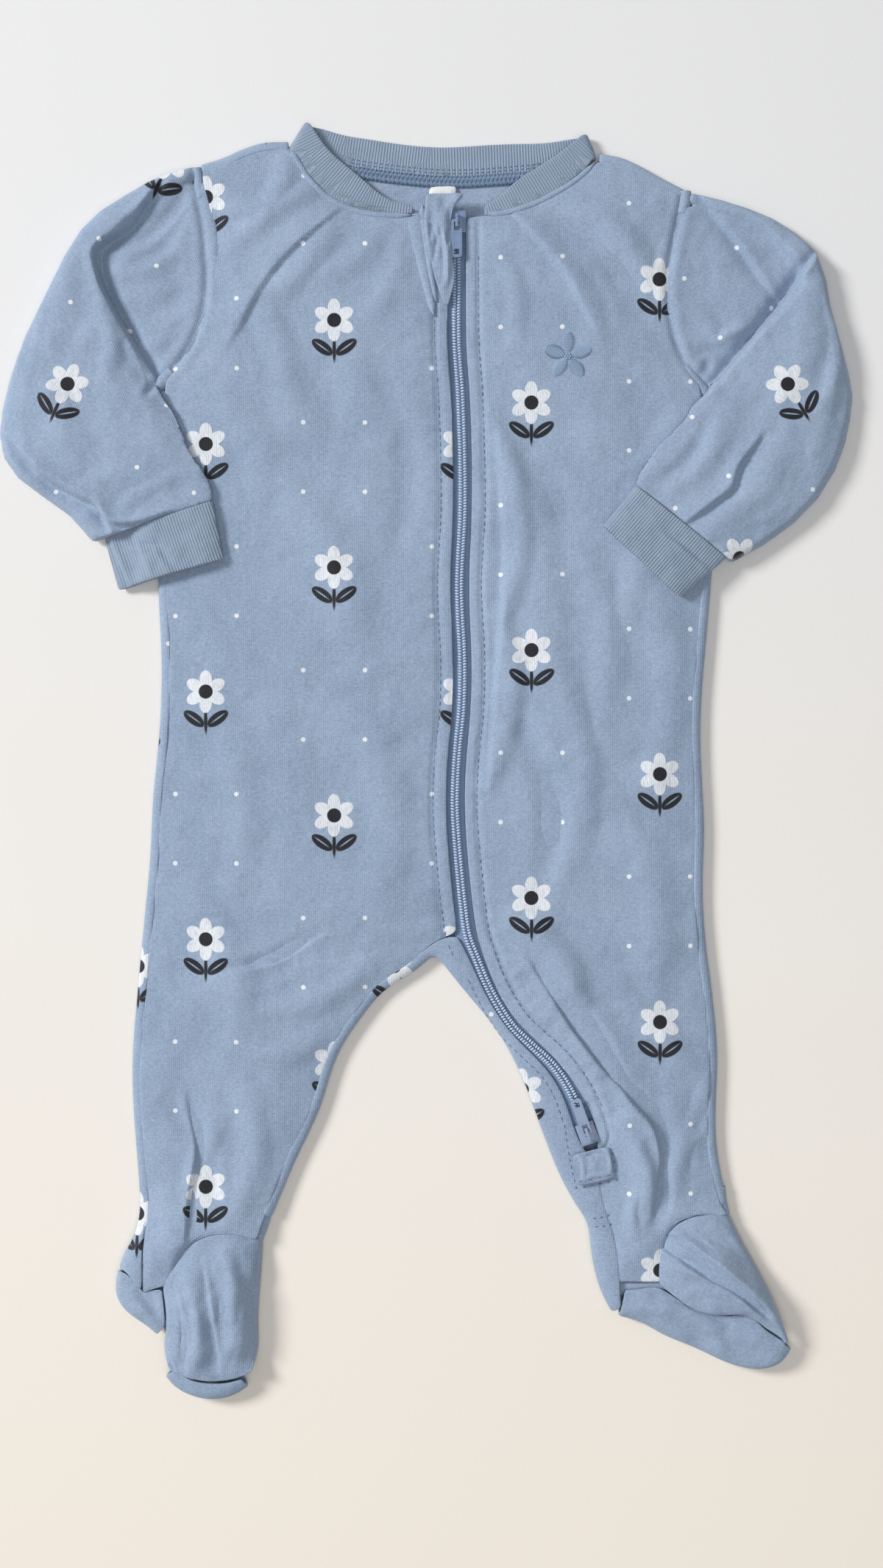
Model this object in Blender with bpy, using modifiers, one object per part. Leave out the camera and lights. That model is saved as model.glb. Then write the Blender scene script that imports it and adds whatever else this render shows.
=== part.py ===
"""A baby's zip-up sleepsuit with feet, laid flat on its back with its sleeves folded down.

Sizes in the tables are millimetres: x to the viewer's right, y towards the neck, z up.
"Right" and "left" are the wearer's, so the right side lies at negative x.
"""
from collections import namedtuple
from math import atan2, cos, pi, sin

import bmesh
import bpy
import numpy as np

MM = 0.001

# The tables' own zero is moved to the middle of the object's base
ORIGIN_X = 0.086
ORIGIN_Y = -0.541

# Driving dimensions
CLOTH = 1.2
RIB_CLOTH = 1.6
SEAM_GAP = 0.3
WRAP = 3.5
BODY_EDGE = 5.0
ANKLE_EDGE = 8.0
ANKLE_RISE_FROM = -185.0
ANKLE_RISE_TO = -222.0
ANKLE_BOW = 4.5
FULLNESS = 2.0
PLACKET_RISE = 0.5
LIP_DOME = 0.5
ARM_CLEAR = 0.5
ARM_OUTSIDE = 4.0
ARM_RAMP = 6.0
EDGE_MIDDLE = 2.4
COLUMNS = 12
TAPE_BOTTOM = 2.6
TAPE_TOP = 3.6
COIL_TOP = 5.2
COIL_HALF = 1.95
TAPE_SPARE = 1.2
SLIDER_HALF = 4.0
SLIDER_LENGTH = 9.5
SLIDER_TOP = 6.4
PULL_AXIS_Z = 7.3
PULL_THICK = 1.2
PULL_LENGTH = 16.0
TOP_SLIDER_Y = 235.0
TOP_SLIDER_X = 13.4
BOTTOM_SLIDER = (70.4, -163.0)
BOTTOM_SLIDER_WAY = (0.34, -0.94)

Band = namedtuple("Band", "seam_x seam_y free_x free_y")
Yoke = namedtuple("Yoke", "armhole_x armhole_y inner_x inner_y bow rise")
Torso = namedtuple("Torso", "y right_side zip_x left_side")
RightLeg = namedtuple("RightLeg", "side_x side_y inner_x inner_y")
LeftLeg = namedtuple("LeftLeg", "side_x side_y zip_x zip_y opening inner_x inner_y")
Fan = namedtuple("Fan", "free_x free_y seam_share bow")
Rim = namedtuple("Rim", "edge_x edge_y lip_x lip_y")
Under = namedtuple("Under", "x y")
Ring = namedtuple("Ring", "outer_x outer_y fold_x fold_y top")
Foot = namedtuple("Foot", "left_x left_y right_x right_y bow left_z right_z crest")
Flap = namedtuple("Flap", "left_x left_y right_x right_y top")
Fold = namedtuple("Fold", "from_x from_y to_x to_y width height")

# The neckband, from the zip round the neck and back to the zip
BAND_FRONT_RIGHT = [
    Band(-6, 239.3, -6, 241.4), Band(-13, 238.3, -12.5, 243), Band(-21, 238.3, -18.5, 245.5),
    Band(-29, 239.7, -23.5, 249.5), Band(-36.5, 242.2, -28.5, 254), Band(-43.8, 247, -34.5, 259),
    Band(-49.8, 253.3, -41, 264), Band(-54.5, 259.7, -46, 270), Band(-57.7, 266, -50.6, 277.5),
]
BAND_BACK = [
    Band(-50, 265.4, -45, 276.5), Band(-36, 261.3, -36.5, 273.5), Band(-24.5, 259.3, -27, 272.3),
    Band(-11, 257.6, -15, 270.2), Band(1.5, 256.4, 1.5, 268.2), Band(13.5, 255.9, 15, 268.5),
    Band(25, 256.8, 27, 269.5), Band(37, 257.6, 40, 270), Band(48, 258.2, 53, 270),
    Band(60, 259.5, 63, 272),
]
BAND_FRONT_LEFT = [
    Band(72, 262.5, 68, 272.5), Band(69.5, 258.5, 62.5, 268), Band(63, 253.6, 56, 263),
    Band(54.8, 247.3, 48, 258), Band(46, 242.3, 40.5, 253.5), Band(38.5, 239.7, 34.5, 248),
    Band(31, 238.4, 30, 244), Band(26, 238.2, 26, 241.8),
]
BAND_TOP_MID = 4.6
BAND_LOW_MID = 0.8

# The fronts above the underarms, a row from each armhole to the neck or the zip
RIGHT_YOKE = [
    Yoke(-97.0, 252.5, -55.1, 259.3, 1.6, 0), Yoke(-95.5, 247, -50.3, 252.8, 1.2, 0),
    Yoke(-94, 241.5, -44.2, 246.5, 0.8, 0), Yoke(-93, 236, -36.9, 241.6, 0.4, 0),
    Yoke(-92.2, 230, -29.2, 239.1, 0, 0), Yoke(-91.7, 225, -21, 237.7, 0, 0),
    Yoke(-91.4, 220, -10, 237.6, 0, 0), Yoke(-91.4, 215.5, 8.9, 236.4, 0, 1),
    Yoke(-92, 208, 8.9, 225, 0, 1), Yoke(-94, 200, 8.9, 209, 0, 1),
    Yoke(-98.5, 190.5, 8.9, 194, 0, 1), Yoke(-105, 180, 8.9, 183, 0, 1),
    Yoke(-112, 171, 9.5, 172, 0, 1),
]
LEFT_YOKE = [
    Yoke(111.6, 241.5, 69.8, 258.0, 1.6, 0), Yoke(110.8, 236, 63.3, 253.1, 1.2, 0),
    Yoke(110, 231, 55.0, 246.8, 0.8, 0), Yoke(109.2, 226, 46.1, 241.8, 0.4, 0),
    Yoke(108.3, 221, 38.6, 239.2, 0, 0), Yoke(107.3, 216.5, 31, 237.9, 0, 0),
    Yoke(106.4, 212, 26, 237.7, 0, 0), Yoke(105.8, 208, 17.9, 236.2, 0, 1),
    Yoke(105.8, 202.5, 17.9, 222, 0, 1), Yoke(107, 194.5, 17.9, 206, 0, 1),
    Yoke(110, 185.5, 17.9, 192, 0, 1), Yoke(113.5, 176.5, 18, 180, 0, 1),
    Yoke(118, 168.5, 18.8, 170, 0, 1),
]
SHOULDER_RIGHT = [(-60.7, 270.6), (-72, 270), (-81, 267), (-90, 263), (-98.2, 260.6)]
SHOULDER_LEFT = [(76.6, 265.2), (84.5, 264), (93, 260.4), (101.5, 255.6), (112.6, 249.8)]

# The body between the underarms and the crotch
ZIP_OPENING = 4.5
BODY = [
    Torso(161, -118, 15, 123.5), Torso(147, -117.5, 15.6, 126.3), Torso(133, -117.5, 16, 126.5),
    Torso(119, -117.5, 16, 126.2), Torso(105, -117.5, 16, 126), Torso(91, -117.3, 15.2, 125.5),
    Torso(77, -117.2, 14.6, 124.8), Torso(63, -116.5, 15, 123.5), Torso(49, -115.7, 15.8, 122.3),
    Torso(35, -115.5, 16, 121), Torso(21, -116, 15.5, 120), Torso(7, -116.8, 14, 120),
    Torso(-7, -118.5, 13, 120.5), Torso(-21, -120, 12.7, 121.5), Torso(-35, -120, 13.5, 122),
    Torso(-49, -121, 14.7, 121), Torso(-63, -122.5, 16.2, 121),
]

# The crotch seam runs from the zip to the inner right leg
RIGHT_CROTCH = [
    RightLeg(-123.6, -74.5, 12.9, -74.8), RightLeg(-124.2, -80.5, 2.6, -79.4),
    RightLeg(-124.8, -86, -2.6, -84.6),
]
RIGHT_LEG = [
    RightLeg(-125.3, -92, -5, -92.6), RightLeg(-126, -100, -20, -101), RightLeg(-127, -111, -27.5, -111.5),
    RightLeg(-128, -122, -35.5, -122), RightLeg(-128.5, -133, -41, -133), RightLeg(-128.4, -144, -44, -145),
    RightLeg(-127.8, -155, -47.5, -156), RightLeg(-127, -166, -53.5, -167), RightLeg(-126, -177, -58.7, -178),
    RightLeg(-125.2, -188, -63, -189), RightLeg(-124.7, -198, -67.4, -199.5),
]
RIGHT_FAN = [
    Fan(-121.7, -203.5, 0.96, 4.5), Fan(-122.4, -208.5, 0.82, 3.2), Fan(-122.9, -213.5, 0.65, 2.2),
    Fan(-123.1, -218.5, 0.48, 1.2), Fan(-123.1, -223.2, 0.32, 0.5), Fan(-123, -227.6, 0.16, 0),
    Fan(-122.9, -231.2, 0.02, 0),
]
LEFT_LEG = [
    LeftLeg(122, -76, 18.5, -77.5, 4.2, 7.5, -88.9), LeftLeg(123, -86, 22, -86.5, 3.4, 11, -93.4),
    LeftLeg(124.5, -96, 26.3, -97, 3.0, 16, -99.8), LeftLeg(125.7, -107, 31.7, -107.3, 3.0, 22.6, -107.4),
    LeftLeg(126.8, -117, 38, -116.6, 3.0, 29.5, -115.6), LeftLeg(127.5, -127, 46.5, -124.9, 3.1, 36, -125.6),
    LeftLeg(127.4, -137, 55.5, -133.4, 3.3, 40.8, -135.5), LeftLeg(126.9, -147, 62.5, -143.5, 3.9, 45, -145.5),
    LeftLeg(126.6, -157, 67.5, -154.5, 4.8, 48.6, -156), LeftLeg(126.8, -167, 71.4, -166, 5.2, 52.6, -166.5),
]
LEFT_SHIN = [
    LeftLeg(128.2, -177, 74.3, -177.5, 0.15, 56.8, -177), LeftLeg(130, -186, 76.1, -187.5, 0.15, 61, -187),
    LeftLeg(131.8, -193.5, 78.3, -196.5, 0.15, 66.5, -195.6),
]
LEFT_FAN = [
    Fan(80.0, -200.5, 0.98, 4.5), Fan(81.6, -205.5, 0.85, 2.5), Fan(83.0, -210.5, 0.68, 1),
    Fan(83.8, -215.2, 0.5, 0), Fan(84.1, -219.6, 0.32, 0), Fan(84.1, -223.4, 0.16, 0),
    Fan(84.1, -226.8, 0.02, 0),
]

# Rims of the back that reach further over the front than the side seams do
HEEL_RIGHT = [Rim(-127.5, -208.5, -123.9, -207.6), Rim(-132, -215.5, -124.3, -216), Rim(-134, -221.5, -124.1, -230.5)]
CROTCH_RIM = [
    Rim(-0.6, -88.6, -2.9, -85.6), Rim(2.2, -86.2, 0.4, -82.8), Rim(4.4, -86.2, 5.5, -78.8), Rim(6, -87.4, 12.6, -77.2),
]
HEEL_LEFT = [
    Rim(71.6, -203, 79.8, -201.6), Rim(71.8, -211, 82.4, -210), Rim(73.4, -222, 83.6, -217.5), Rim(76.4, -232.5, 83.8, -223.5),
    Rim(80.8, -240.6, 84.2, -229.4),
]

# The feet
FOOT_RIGHT = [
    Foot(-114.2, -230.2, -71.8, -210.2, 12.5, 8, 3.0, 8), Foot(-113.2, -236, -72.4, -221, 10, 8, 1.5, 10.5),
    Foot(-112.7, -243, -73.3, -233, 6.5, 8, 1.5, 12), Foot(-113.0, -250, -74.2, -246, 3, 7, 1.5, 12),
    Foot(-114.6, -258, -73.7, -258, 0, 1.5, 1.5, 11), Foot(-111.6, -265.0, -76.4, -266.4, -4.6, 8.3, 8.3, 8.5),
]
FOOT_LEFT = [
    Foot(102, -228.2, 132.4, -199.2, 13.6, 8, 3.0, 8), Foot(108.5, -233.3, 138, -210.5, 10, 8.5, 1.5, 11),
    Foot(117.5, -239.4, 144.4, -221.8, 6, 9, 1.5, 12.5), Foot(128, -241.4, 150, -232.3, 3, 9, 1.5, 12.5),
    Foot(139, -240.4, 154.5, -242.4, 1, 9, 1.5, 11.5), Foot(148.6, -247.2, 157.8, -253.6, 0.3, 8.8, 6.0, 9.2),
]
SOLE_HEEL_RIGHT = [
    Rim(-134.6, -223.4, -124.3, -231.0), Rim(-136, -229.5, -123.6, -232.2), Rim(-135, -236.2, -119, -231.5),
    Rim(-130.2, -242.2, -115.3, -231.2), Rim(-122.5, -246.8, -114.6, -238), Rim(-118, -250.8, -113.9, -245.5),
]
SOLE_TOE_RIGHT = [
    Rim(-113.6, -269.5, -109.4, -266.4), Rim(-110.5, -273.6, -105.4, -269.2), Rim(-104.5, -277.5, -101, -271.4),
    Rim(-94, -280, -94.2, -272.4), Rim(-84.5, -278.4, -86.4, -272.2), Rim(-78, -274, -80.6, -270.4),
]
SOLE_LEFT = [
    Rim(84.6, -243, 87.2, -231.4), Rim(90, -244.4, 90.4, -231.2), Rim(95.8, -246.4, 95.0, -230.8),
    Rim(102, -250.5, 101, -229.6), Rim(109, -253.5, 107.2, -234), Rim(117, -256.5, 116.2, -240.4),
    Rim(125, -260.5, 127.6, -242.8), Rim(132.5, -264, 134, -242.4), Rim(140, -266, 140.5, -241.4),
    Rim(148, -266.5, 144.8, -245.6), Rim(155.6, -264, 148.6, -249.6), Rim(159.6, -257.5, 155.6, -253.6),
]

# The sleeves: the flat upper arm beside the armhole, and the folded roll that hangs over it
ARM_RIGHT = [
    Under(-112, 251), Under(-118, 246), Under(-132, 236), Under(-150, 222), Under(-152, 204), Under(-146, 190),
    Under(-140, 176), Under(-134, 166), Under(-130, 160), Under(-127, 157),
]
ROLL_RIGHT = [
    Ring(-103.5, 259.3, -101.5, 255.5, 5.6), Ring(-110, 257.3, -108, 250.5, 6.5), Ring(-118, 254.3, -119, 244.5, 7.5),
    Ring(-130, 247.5, -128, 237, 8), Ring(-141.5, 240.5, -136, 229, 8.5), Ring(-150, 232.5, -143, 221.5, 9),
    Ring(-158.5, 219, -142.5, 213, 9.5), Ring(-167, 202, -138, 201.5, 10), Ring(-175, 186.5, -131.5, 189, 10),
    Ring(-181, 170, -123.5, 174.8, 10), Ring(-185.5, 153, -115, 160, 10.5), Ring(-186.3, 138, -107, 146, 10.5),
    Ring(-181.5, 126.5, -100, 133, 10.8), Ring(-170, 117, -95.5, 124, 10.8), Ring(-157, 108, -93.3, 118, 10.8),
    Ring(-146, 95.8, -92.8, 112.9, 10.6),
]
CUFF_RIGHT = [Ring(-140.4, 96.9, -93, 112.1, 10.2), Ring(-137.5, 86, -90.8, 100, 10.2), Ring(-134.5, 75, -88.5, 87.6, 10)]
ARM_LEFT = [
    Under(123, 241), Under(136, 237.5), Under(156, 229), Under(170, 217), Under(168, 203), Under(160, 192),
    Under(150, 181), Under(142, 171), Under(136, 164), Under(132, 158),
]
ROLL_LEFT = [
    Ring(118, 247.5, 117, 243.5, 5.6), Ring(128, 245, 126.5, 240.5, 6.5), Ring(139, 241.5, 136.5, 236.5, 7),
    Ring(149.5, 237.5, 146, 231.5, 7.5), Ring(160.5, 231, 155, 224, 8), Ring(169, 224, 161.5, 217, 8.5),
    Ring(174, 213, 165, 209, 9), Ring(176.3, 200, 158.5, 200, 9.5), Ring(180, 187, 148, 188.5, 10),
    Ring(184, 173.5, 135.5, 175, 10), Ring(186.8, 160, 122.5, 161.5, 10.5), Ring(185, 145, 110.5, 148, 10.5),
    Ring(180, 128.5, 99.5, 134.5, 10.8), Ring(170, 112.5, 94, 126.5, 10.8), Ring(153, 97.5, 91.8, 122.5, 10.8),
    Ring(134, 86.5, 91.5, 119.6, 10.6),
]
CUFF_LEFT = [Ring(130.4, 87.9, 91.0, 118.8, 10.2), Ring(120.6, 79.5, 84.2, 110.2, 10.2), Ring(111, 71, 77.5, 102, 10)]
UPPER_ARM_TOP = 5.0
UPPER_ARM_BOTTOM = 0.2

# The flap over the top of the zip, and the patch at its lower end
GUARD = [
    Flap(0.6, 246.2, 16.5, 246.4, 8.3), Flap(0.0, 240, 10.6, 240.4, 8.3), Flap(-0.4, 232, 10.5, 232, 8.3),
    Flap(1.2, 223, 10.6, 221, 8.2), Flap(3.2, 214, 12.4, 212.5, 7.6), Flap(6, 205, 11.2, 205, 7.2),
    Flap(8.2, 199.5, 9.4, 199, 7.1),
]
PATCH = [
    Flap(64.2, -172.6, 79.4, -168.8, 8.1), Flap(65.2, -179, 80.6, -175.2, 8.1), Flap(66.3, -185.2, 81.5, -181.6, 8.1),
]
LABEL = [Flap(2, 250.8, 13, 251.2, 2.9), Flap(1.6, 245.8, 12.6, 246.4, 2.9)]

# The largest folds that stand in the fronts and feet
FOLDS = [
    Fold(47, 107, 58, 0, 14, 1.8), Fold(57, -96, 80, -131, 13, 2.6), Fold(80, -131, 100, -180, 13, 3.0),
    Fold(-114, -178, -109, -212, 9, 1.8), Fold(-47, 232, -80, 205, 12, 1.4), Fold(86, 225, 60, 205, 12, 1.2),
    Fold(-88, 40, -62, -20, 16, 1.2), Fold(-40, -55, -72, -96, 14, 1.3), Fold(-20, -72, -62, -62, 10, 1.0),
    Fold(-72, -120, -66, -170, 14, 1.2), Fold(-101, -222, -103, -256, 9, 2.4), Fold(-84, -222, -82, -254, 7, 1.8),
    Fold(108, -214, 128, -224, 8, 2.2), Fold(128, -224, 148, -236, 8, 2.2),
]

BLUE = (0.262, 0.366, 0.515)
RIB_BLUE = (0.246, 0.33, 0.455)
ZIP_BLUE = (0.16, 0.25, 0.42)
WHITE = (0.85, 0.85, 0.85)


def material(name, colour, roughness):
    made = bpy.data.materials.new(name)
    made.use_nodes = True
    shader = made.node_tree.nodes["Principled BSDF"]
    shader.inputs["Base Color"].default_value = (*colour, 1)
    shader.inputs["Roughness"].default_value = roughness
    shader.inputs["Metallic"].default_value = 0
    return made


def collection(name):
    made = bpy.data.collections.new(name)
    bpy.context.scene.collection.children.link(made)
    return made


def placed(x, y, z=0.0):
    """Metres from the middle of the object's base, for a point in the tables' millimetres."""
    return ((x - ORIGIN_X) * MM, (y - ORIGIN_Y) * MM, z * MM)


def mesh_object(name, points, faces, finish, home):
    mesh = bpy.data.meshes.new(name)
    mesh.from_pydata([placed(*point) for point in points], [], faces)
    mesh.validate()
    made = bpy.data.objects.new(name, mesh)
    made.data.materials.append(finish)
    home.objects.link(made)
    return made


def face_down_or_up(made, up):
    """Makes the faces agree, then turns them all if the mesh's flattest side faces the wrong way."""
    work = bmesh.new()
    work.from_mesh(made.data)
    bmesh.ops.recalc_face_normals(work, faces=work.faces)
    flattest = max(work.faces, key=lambda face: abs(face.normal.z) * face.calc_area())
    if (flattest.normal.z > 0) != up:
        bmesh.ops.reverse_faces(work, faces=work.faces)
    work.to_mesh(made.data)
    work.free()


def thicken(made, thickness):
    wall = made.modifiers.new("wall", "SOLIDIFY")
    wall.thickness = thickness * MM
    wall.offset = -1


def smooth_rows(table, count):
    """Evenly spaced rows on a smooth curve through the rows of a table."""
    rows = np.array(table, dtype=float)
    steps = np.linalg.norm(np.diff(rows[:, :4], axis=0), axis=1)
    at = np.concatenate([[0], np.cumsum(steps)])
    slope = np.gradient(rows, at, axis=0)
    wanted = np.linspace(0, at[-1], count)
    k = np.clip(np.searchsorted(at, wanted, side="right") - 1, 0, len(at) - 2)
    span = (at[k + 1] - at[k])[:, None]
    t = (wanted - at[k])[:, None] / span
    start = rows[k] * (2 * t**3 - 3 * t**2 + 1) + slope[k] * span * (t**3 - 2 * t**2 + t)
    end = rows[k + 1] * (3 * t**2 - 2 * t**3) + slope[k + 1] * span * (t**3 - t**2)
    return start + end


def outward(curve, side):
    """Unit normals of a curve that runs down the garment, towards that side (-1 is negative x)."""
    tangent = np.gradient(curve, axis=0)
    tangent /= np.linalg.norm(tangent, axis=1)[:, None]
    return side * np.stack([-tangent[:, 1], tangent[:, 0]], axis=1)


def smooth_step(t):
    t = min(max(t, 0.0), 1.0)
    return t * t * (3 - 2 * t)


def edge_height(y):
    """Height of the sewn edges: the ankles stand a little higher than the body."""
    along = (ANKLE_RISE_FROM - y) / (ANKLE_RISE_FROM - ANKLE_RISE_TO)
    return BODY_EDGE + (ANKLE_EDGE - BODY_EDGE) * smooth_step(along)


def fold_height(x, y):
    total = 0.0
    for fold in FOLDS:
        run = np.array([fold.to_x - fold.from_x, fold.to_y - fold.from_y])
        away = np.array([x - fold.from_x, y - fold.from_y])
        t = min(max(away @ run / (run @ run), 0.0), 1.0)
        distance = np.linalg.norm(away - t * run)
        if distance < fold.width:
            total = max(total, fold.height * cos(pi * distance / fold.width / 2) ** 2)
    return total


def swell(v):
    return (4 * v * (1 - v)) ** 0.6


def grid_object(name, grid, finish, home, closed=False):
    """A sheet through rows of points; a closed sheet joins each row's end to its start."""
    rows, columns = len(grid), len(grid[0])
    points = [point for row in grid for point in row]
    faces = []
    for i in range(rows - 1):
        for j in range(columns if closed else columns - 1):
            k = (j + 1) % columns
            faces.append((i * columns + j, i * columns + k, (i + 1) * columns + k, (i + 1) * columns + j))
    return mesh_object(name, points, faces, finish, home)


def tray_object(name, stretches, finish, home):
    """A flat-bottomed sheet whose rims roll up and over; seam stretches end flat."""
    points, faces, floor = [], [], []
    for kind, rows in stretches:
        if kind == "seam":
            for x, y in rows:
                floor.append(len(points))
                points.append((x, y, 0.0))
            continue
        edge = np.array([row[:2] for row in rows])
        lip = np.array([row[2:4] for row in rows])
        tangent = np.gradient(edge, axis=0)
        tangent /= np.linalg.norm(tangent, axis=1)[:, None]
        normal = np.stack([tangent[:, 1], -tangent[:, 0]], axis=1)
        wide = np.max(np.linalg.norm(edge - lip, axis=1)) > 2.5 * WRAP
        lip_steps = 2 if wide else 1
        arc_steps = 4
        size = arc_steps + 1 + lip_steps
        for i, (e, l, n) in enumerate(zip(edge, lip, normal)):
            radius = edge_height(e[1]) / 2
            base = e - n * radius
            floor.append(len(points))
            for k in range(arc_steps + 1):
                turn = pi * k / arc_steps
                place = base + n * radius * sin(turn)
                points.append((place[0], place[1], radius * (1 - cos(turn))))
            for k in range(1, lip_steps + 1):
                u = k / lip_steps
                place = base + (l - base) * u
                dome = LIP_DOME * sin(pi * u) * smooth_step(np.linalg.norm(l - base) / WRAP - 1)
                points.append((place[0], place[1], 2 * radius + dome))
            if i:
                first = floor[-2]
                second = floor[-1]
                for k in range(size - 1):
                    faces.append((first + k, second + k, second + k + 1, first + k + 1))
    faces.append(tuple(floor))
    made = mesh_object(name, points, faces, finish, home)
    face_down_or_up(made, up=False)
    thicken(made, CLOTH)
    return made


def snapped(places, corners):
    """Moves the nearest inner sample onto each corner of the surface that lies below."""
    places = list(places)
    used = 0
    for corner in corners:
        free = range(used + 1, len(places) - 1)
        if not free:
            break
        used = min(free, key=lambda i: abs(places[i] - corner))
        places[used] = corner
    return places


def ring_points(outer, fold, top, floor_at, height_low=None):
    """One closed section across a folded sleeve: a domed top over a flat underside."""
    half = 8
    outer, fold = np.array(outer), np.array(fold)
    end_low, end_high = floor_at(*outer), floor_at(*fold)
    samples = [(1 - cos(pi * j / half)) / 2 for j in range(half + 1)]
    fine = np.linspace(0, 1, 241)
    floors = np.array([floor_at(*(outer + (fold - outer) * v)) for v in fine])
    bends = np.abs(np.diff(floors, 2))
    corners = [fine[k + 1] for k in range(1, len(bends) - 1) if bends[k] > 0.04 and bends[k] >= max(bends[k - 1], bends[k + 1])]

    def level(v):
        return (end_low + EDGE_MIDDLE) * (1 - v) + (end_high + EDGE_MIDDLE) * v

    def crown(v):
        return max(0.0, 1 - abs(2 * v - 1) ** 3) ** (1 / 3)

    upper, lower = [], []
    samples = snapped(samples, corners)
    for v in samples:
        place = outer + (fold - outer) * v
        low = floor_at(*place)
        crest = low + height_low if height_low else max(top, low + 3.0)
        upper.append((place[0], place[1], level(v) + (crest - level(v)) * crown(v)))
    for v in samples:
        place = outer + (fold - outer) * v
        low = floor_at(*place)
        lower.append((place[0], place[1], level(v) + (low - level(v)) * min(1.0, crown(v) * 1.6)))
    return upper + lower[-2:0:-1]


def ring_body(name, rings, finish, home, capped):
    made = grid_object(name, rings, finish, home, closed=True)
    work = bmesh.new()
    work.from_mesh(made.data)
    if capped:
        bmesh.ops.holes_fill(work, edges=[e for e in work.edges if e.is_boundary], sides=0)
    bmesh.ops.recalc_face_normals(work, faces=work.faces)
    top = max(work.faces, key=lambda face: face.calc_center_median().z)
    if top.normal.z < 0:
        bmesh.ops.reverse_faces(work, faces=work.faces)
    work.to_mesh(made.data)
    work.free()
    return made


def join(made, other, operation):
    change = made.modifiers.new(operation.lower(), "BOOLEAN")
    change.operation = operation
    change.solver = "EXACT"
    change.object = other


def box(name, low, high, home, finish):
    """A box between two corners, as a primitive cube set to its size."""
    work = bmesh.new()
    bmesh.ops.create_cube(work, size=1.0)
    size = [(b - a) * MM for a, b in zip(low, high)]
    middle = [(a + b) / 2 * MM for a, b in zip(low, high)]
    bmesh.ops.scale(work, vec=size, verts=work.verts)
    bmesh.ops.translate(work, vec=middle, verts=work.verts)
    mesh = bpy.data.meshes.new(name)
    work.to_mesh(mesh)
    work.free()
    made = bpy.data.objects.new(name, mesh)
    made.data.materials.append(finish)
    home.objects.link(made)
    return made


def panel(name, outer, inner, bow, rise, shoulder, finish, home):
    """A front with its leg: rows from the outer seam to the inner one, swelling between them."""
    grid = []
    count = len(outer)
    for i in range(count):
        run = inner[i] - outer[i]
        up = np.array([-run[1], run[0]]) / np.linalg.norm(run)
        up = up if up[1] > 0 else -up
        ends = smooth_step(i / 3) * smooth_step((count - 1 - i) / 3)
        row = []
        for j in range(COLUMNS):
            v = j / (COLUMNS - 1)
            place = outer[i] + run * v + up * bow[i] * 4 * v * (1 - v)
            if i == 0:
                place = shoulder[j]
            x, y = place
            level = edge_height(y) + PLACKET_RISE * rise[i] * v**3
            z = level + ends * (FULLNESS * swell(v) + fold_height(x, y) * smooth_step(4 * v) * smooth_step(4 - 4 * v))
            row.append((x, y, z))
        grid.append(row)
    made = grid_object(name, grid, finish, home)
    face_down_or_up(made, up=True)
    thicken(made, CLOTH)
    return made


def shoulder_seam(edge, side):
    """The top row of a front, parallel to the shoulder's edge, from the armhole to the neck."""
    curve = smooth_rows([(x, y, 0, 0) for x, y in edge], COLUMNS)[:, :2]
    tangent = np.gradient(curve, axis=0)
    tangent /= np.linalg.norm(tangent, axis=1)[:, None]
    down = side * np.stack([-tangent[:, 1], tangent[:, 0]], axis=1)
    return curve, down


def bowed(left, right, bow, v):
    """A point at share v of a row that bows away from the straight line between its ends."""
    run = right - left
    up = np.array([-run[1], run[0]]) / np.linalg.norm(run)
    return left + run * v + up * bow * 4 * v * (1 - v)


def ankle_seam(row, shares):
    """Points on the leg's side of the seam where the foot's first row begins."""
    left, right = np.array(row[:2]), np.array(row[2:4])
    points = []
    for v in shares:
        along = bowed(left, right, row.bow, v + 0.01) - bowed(left, right, row.bow, v - 0.01)
        away = np.array([-along[1], along[0]]) / np.linalg.norm(along)
        points.append(bowed(left, right, row.bow, v) + away * (SEAM_GAP + 0.15))
    return np.array(points)


def nearest(curve, places):
    """For each place, the closest point of a smooth curve."""
    fine = smooth_rows([(x, y, 0, 0) for x, y in curve], 240)[:, :2]
    return np.array([fine[np.argmin(np.linalg.norm(fine - place, axis=1))] for place in places])


def ankle_bow(y):
    """How far the rows above the ankle bow up, so that they spread evenly onto the foot's curved seam."""
    return np.array([ANKLE_BOW * smooth_step((ANKLE_RISE_FROM + 15 - at) / 25) for at in y])


def build():
    for old in list(bpy.data.objects):
        bpy.data.objects.remove(old)
    suit = collection("baby_sleepsuit")
    tools = collection("cutters")
    cloth = material("blue_interlock", BLUE, 0.95)
    rib = material("blue_rib", RIB_BLUE, 0.95)
    tape = material("blue_zip_tape", ZIP_BLUE, 0.7)
    enamel = material("blue_zip_enamel", ZIP_BLUE, 0.35)
    white = material("white_satin_label", WHITE, 0.6)

    build_body(suit, cloth)
    build_band(suit, rib)
    build_sleeve("right", RIGHT_YOKE, ARM_RIGHT, ROLL_RIGHT, CUFF_RIGHT, -1, suit, tools, cloth, rib)
    build_sleeve("left", LEFT_YOKE, ARM_LEFT, ROLL_LEFT, CUFF_LEFT, 1, suit, tools, cloth, rib)
    build_feet(suit, cloth)
    build_zip(suit, tools, tape, enamel)
    build_flaps(suit, cloth, white)


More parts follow.
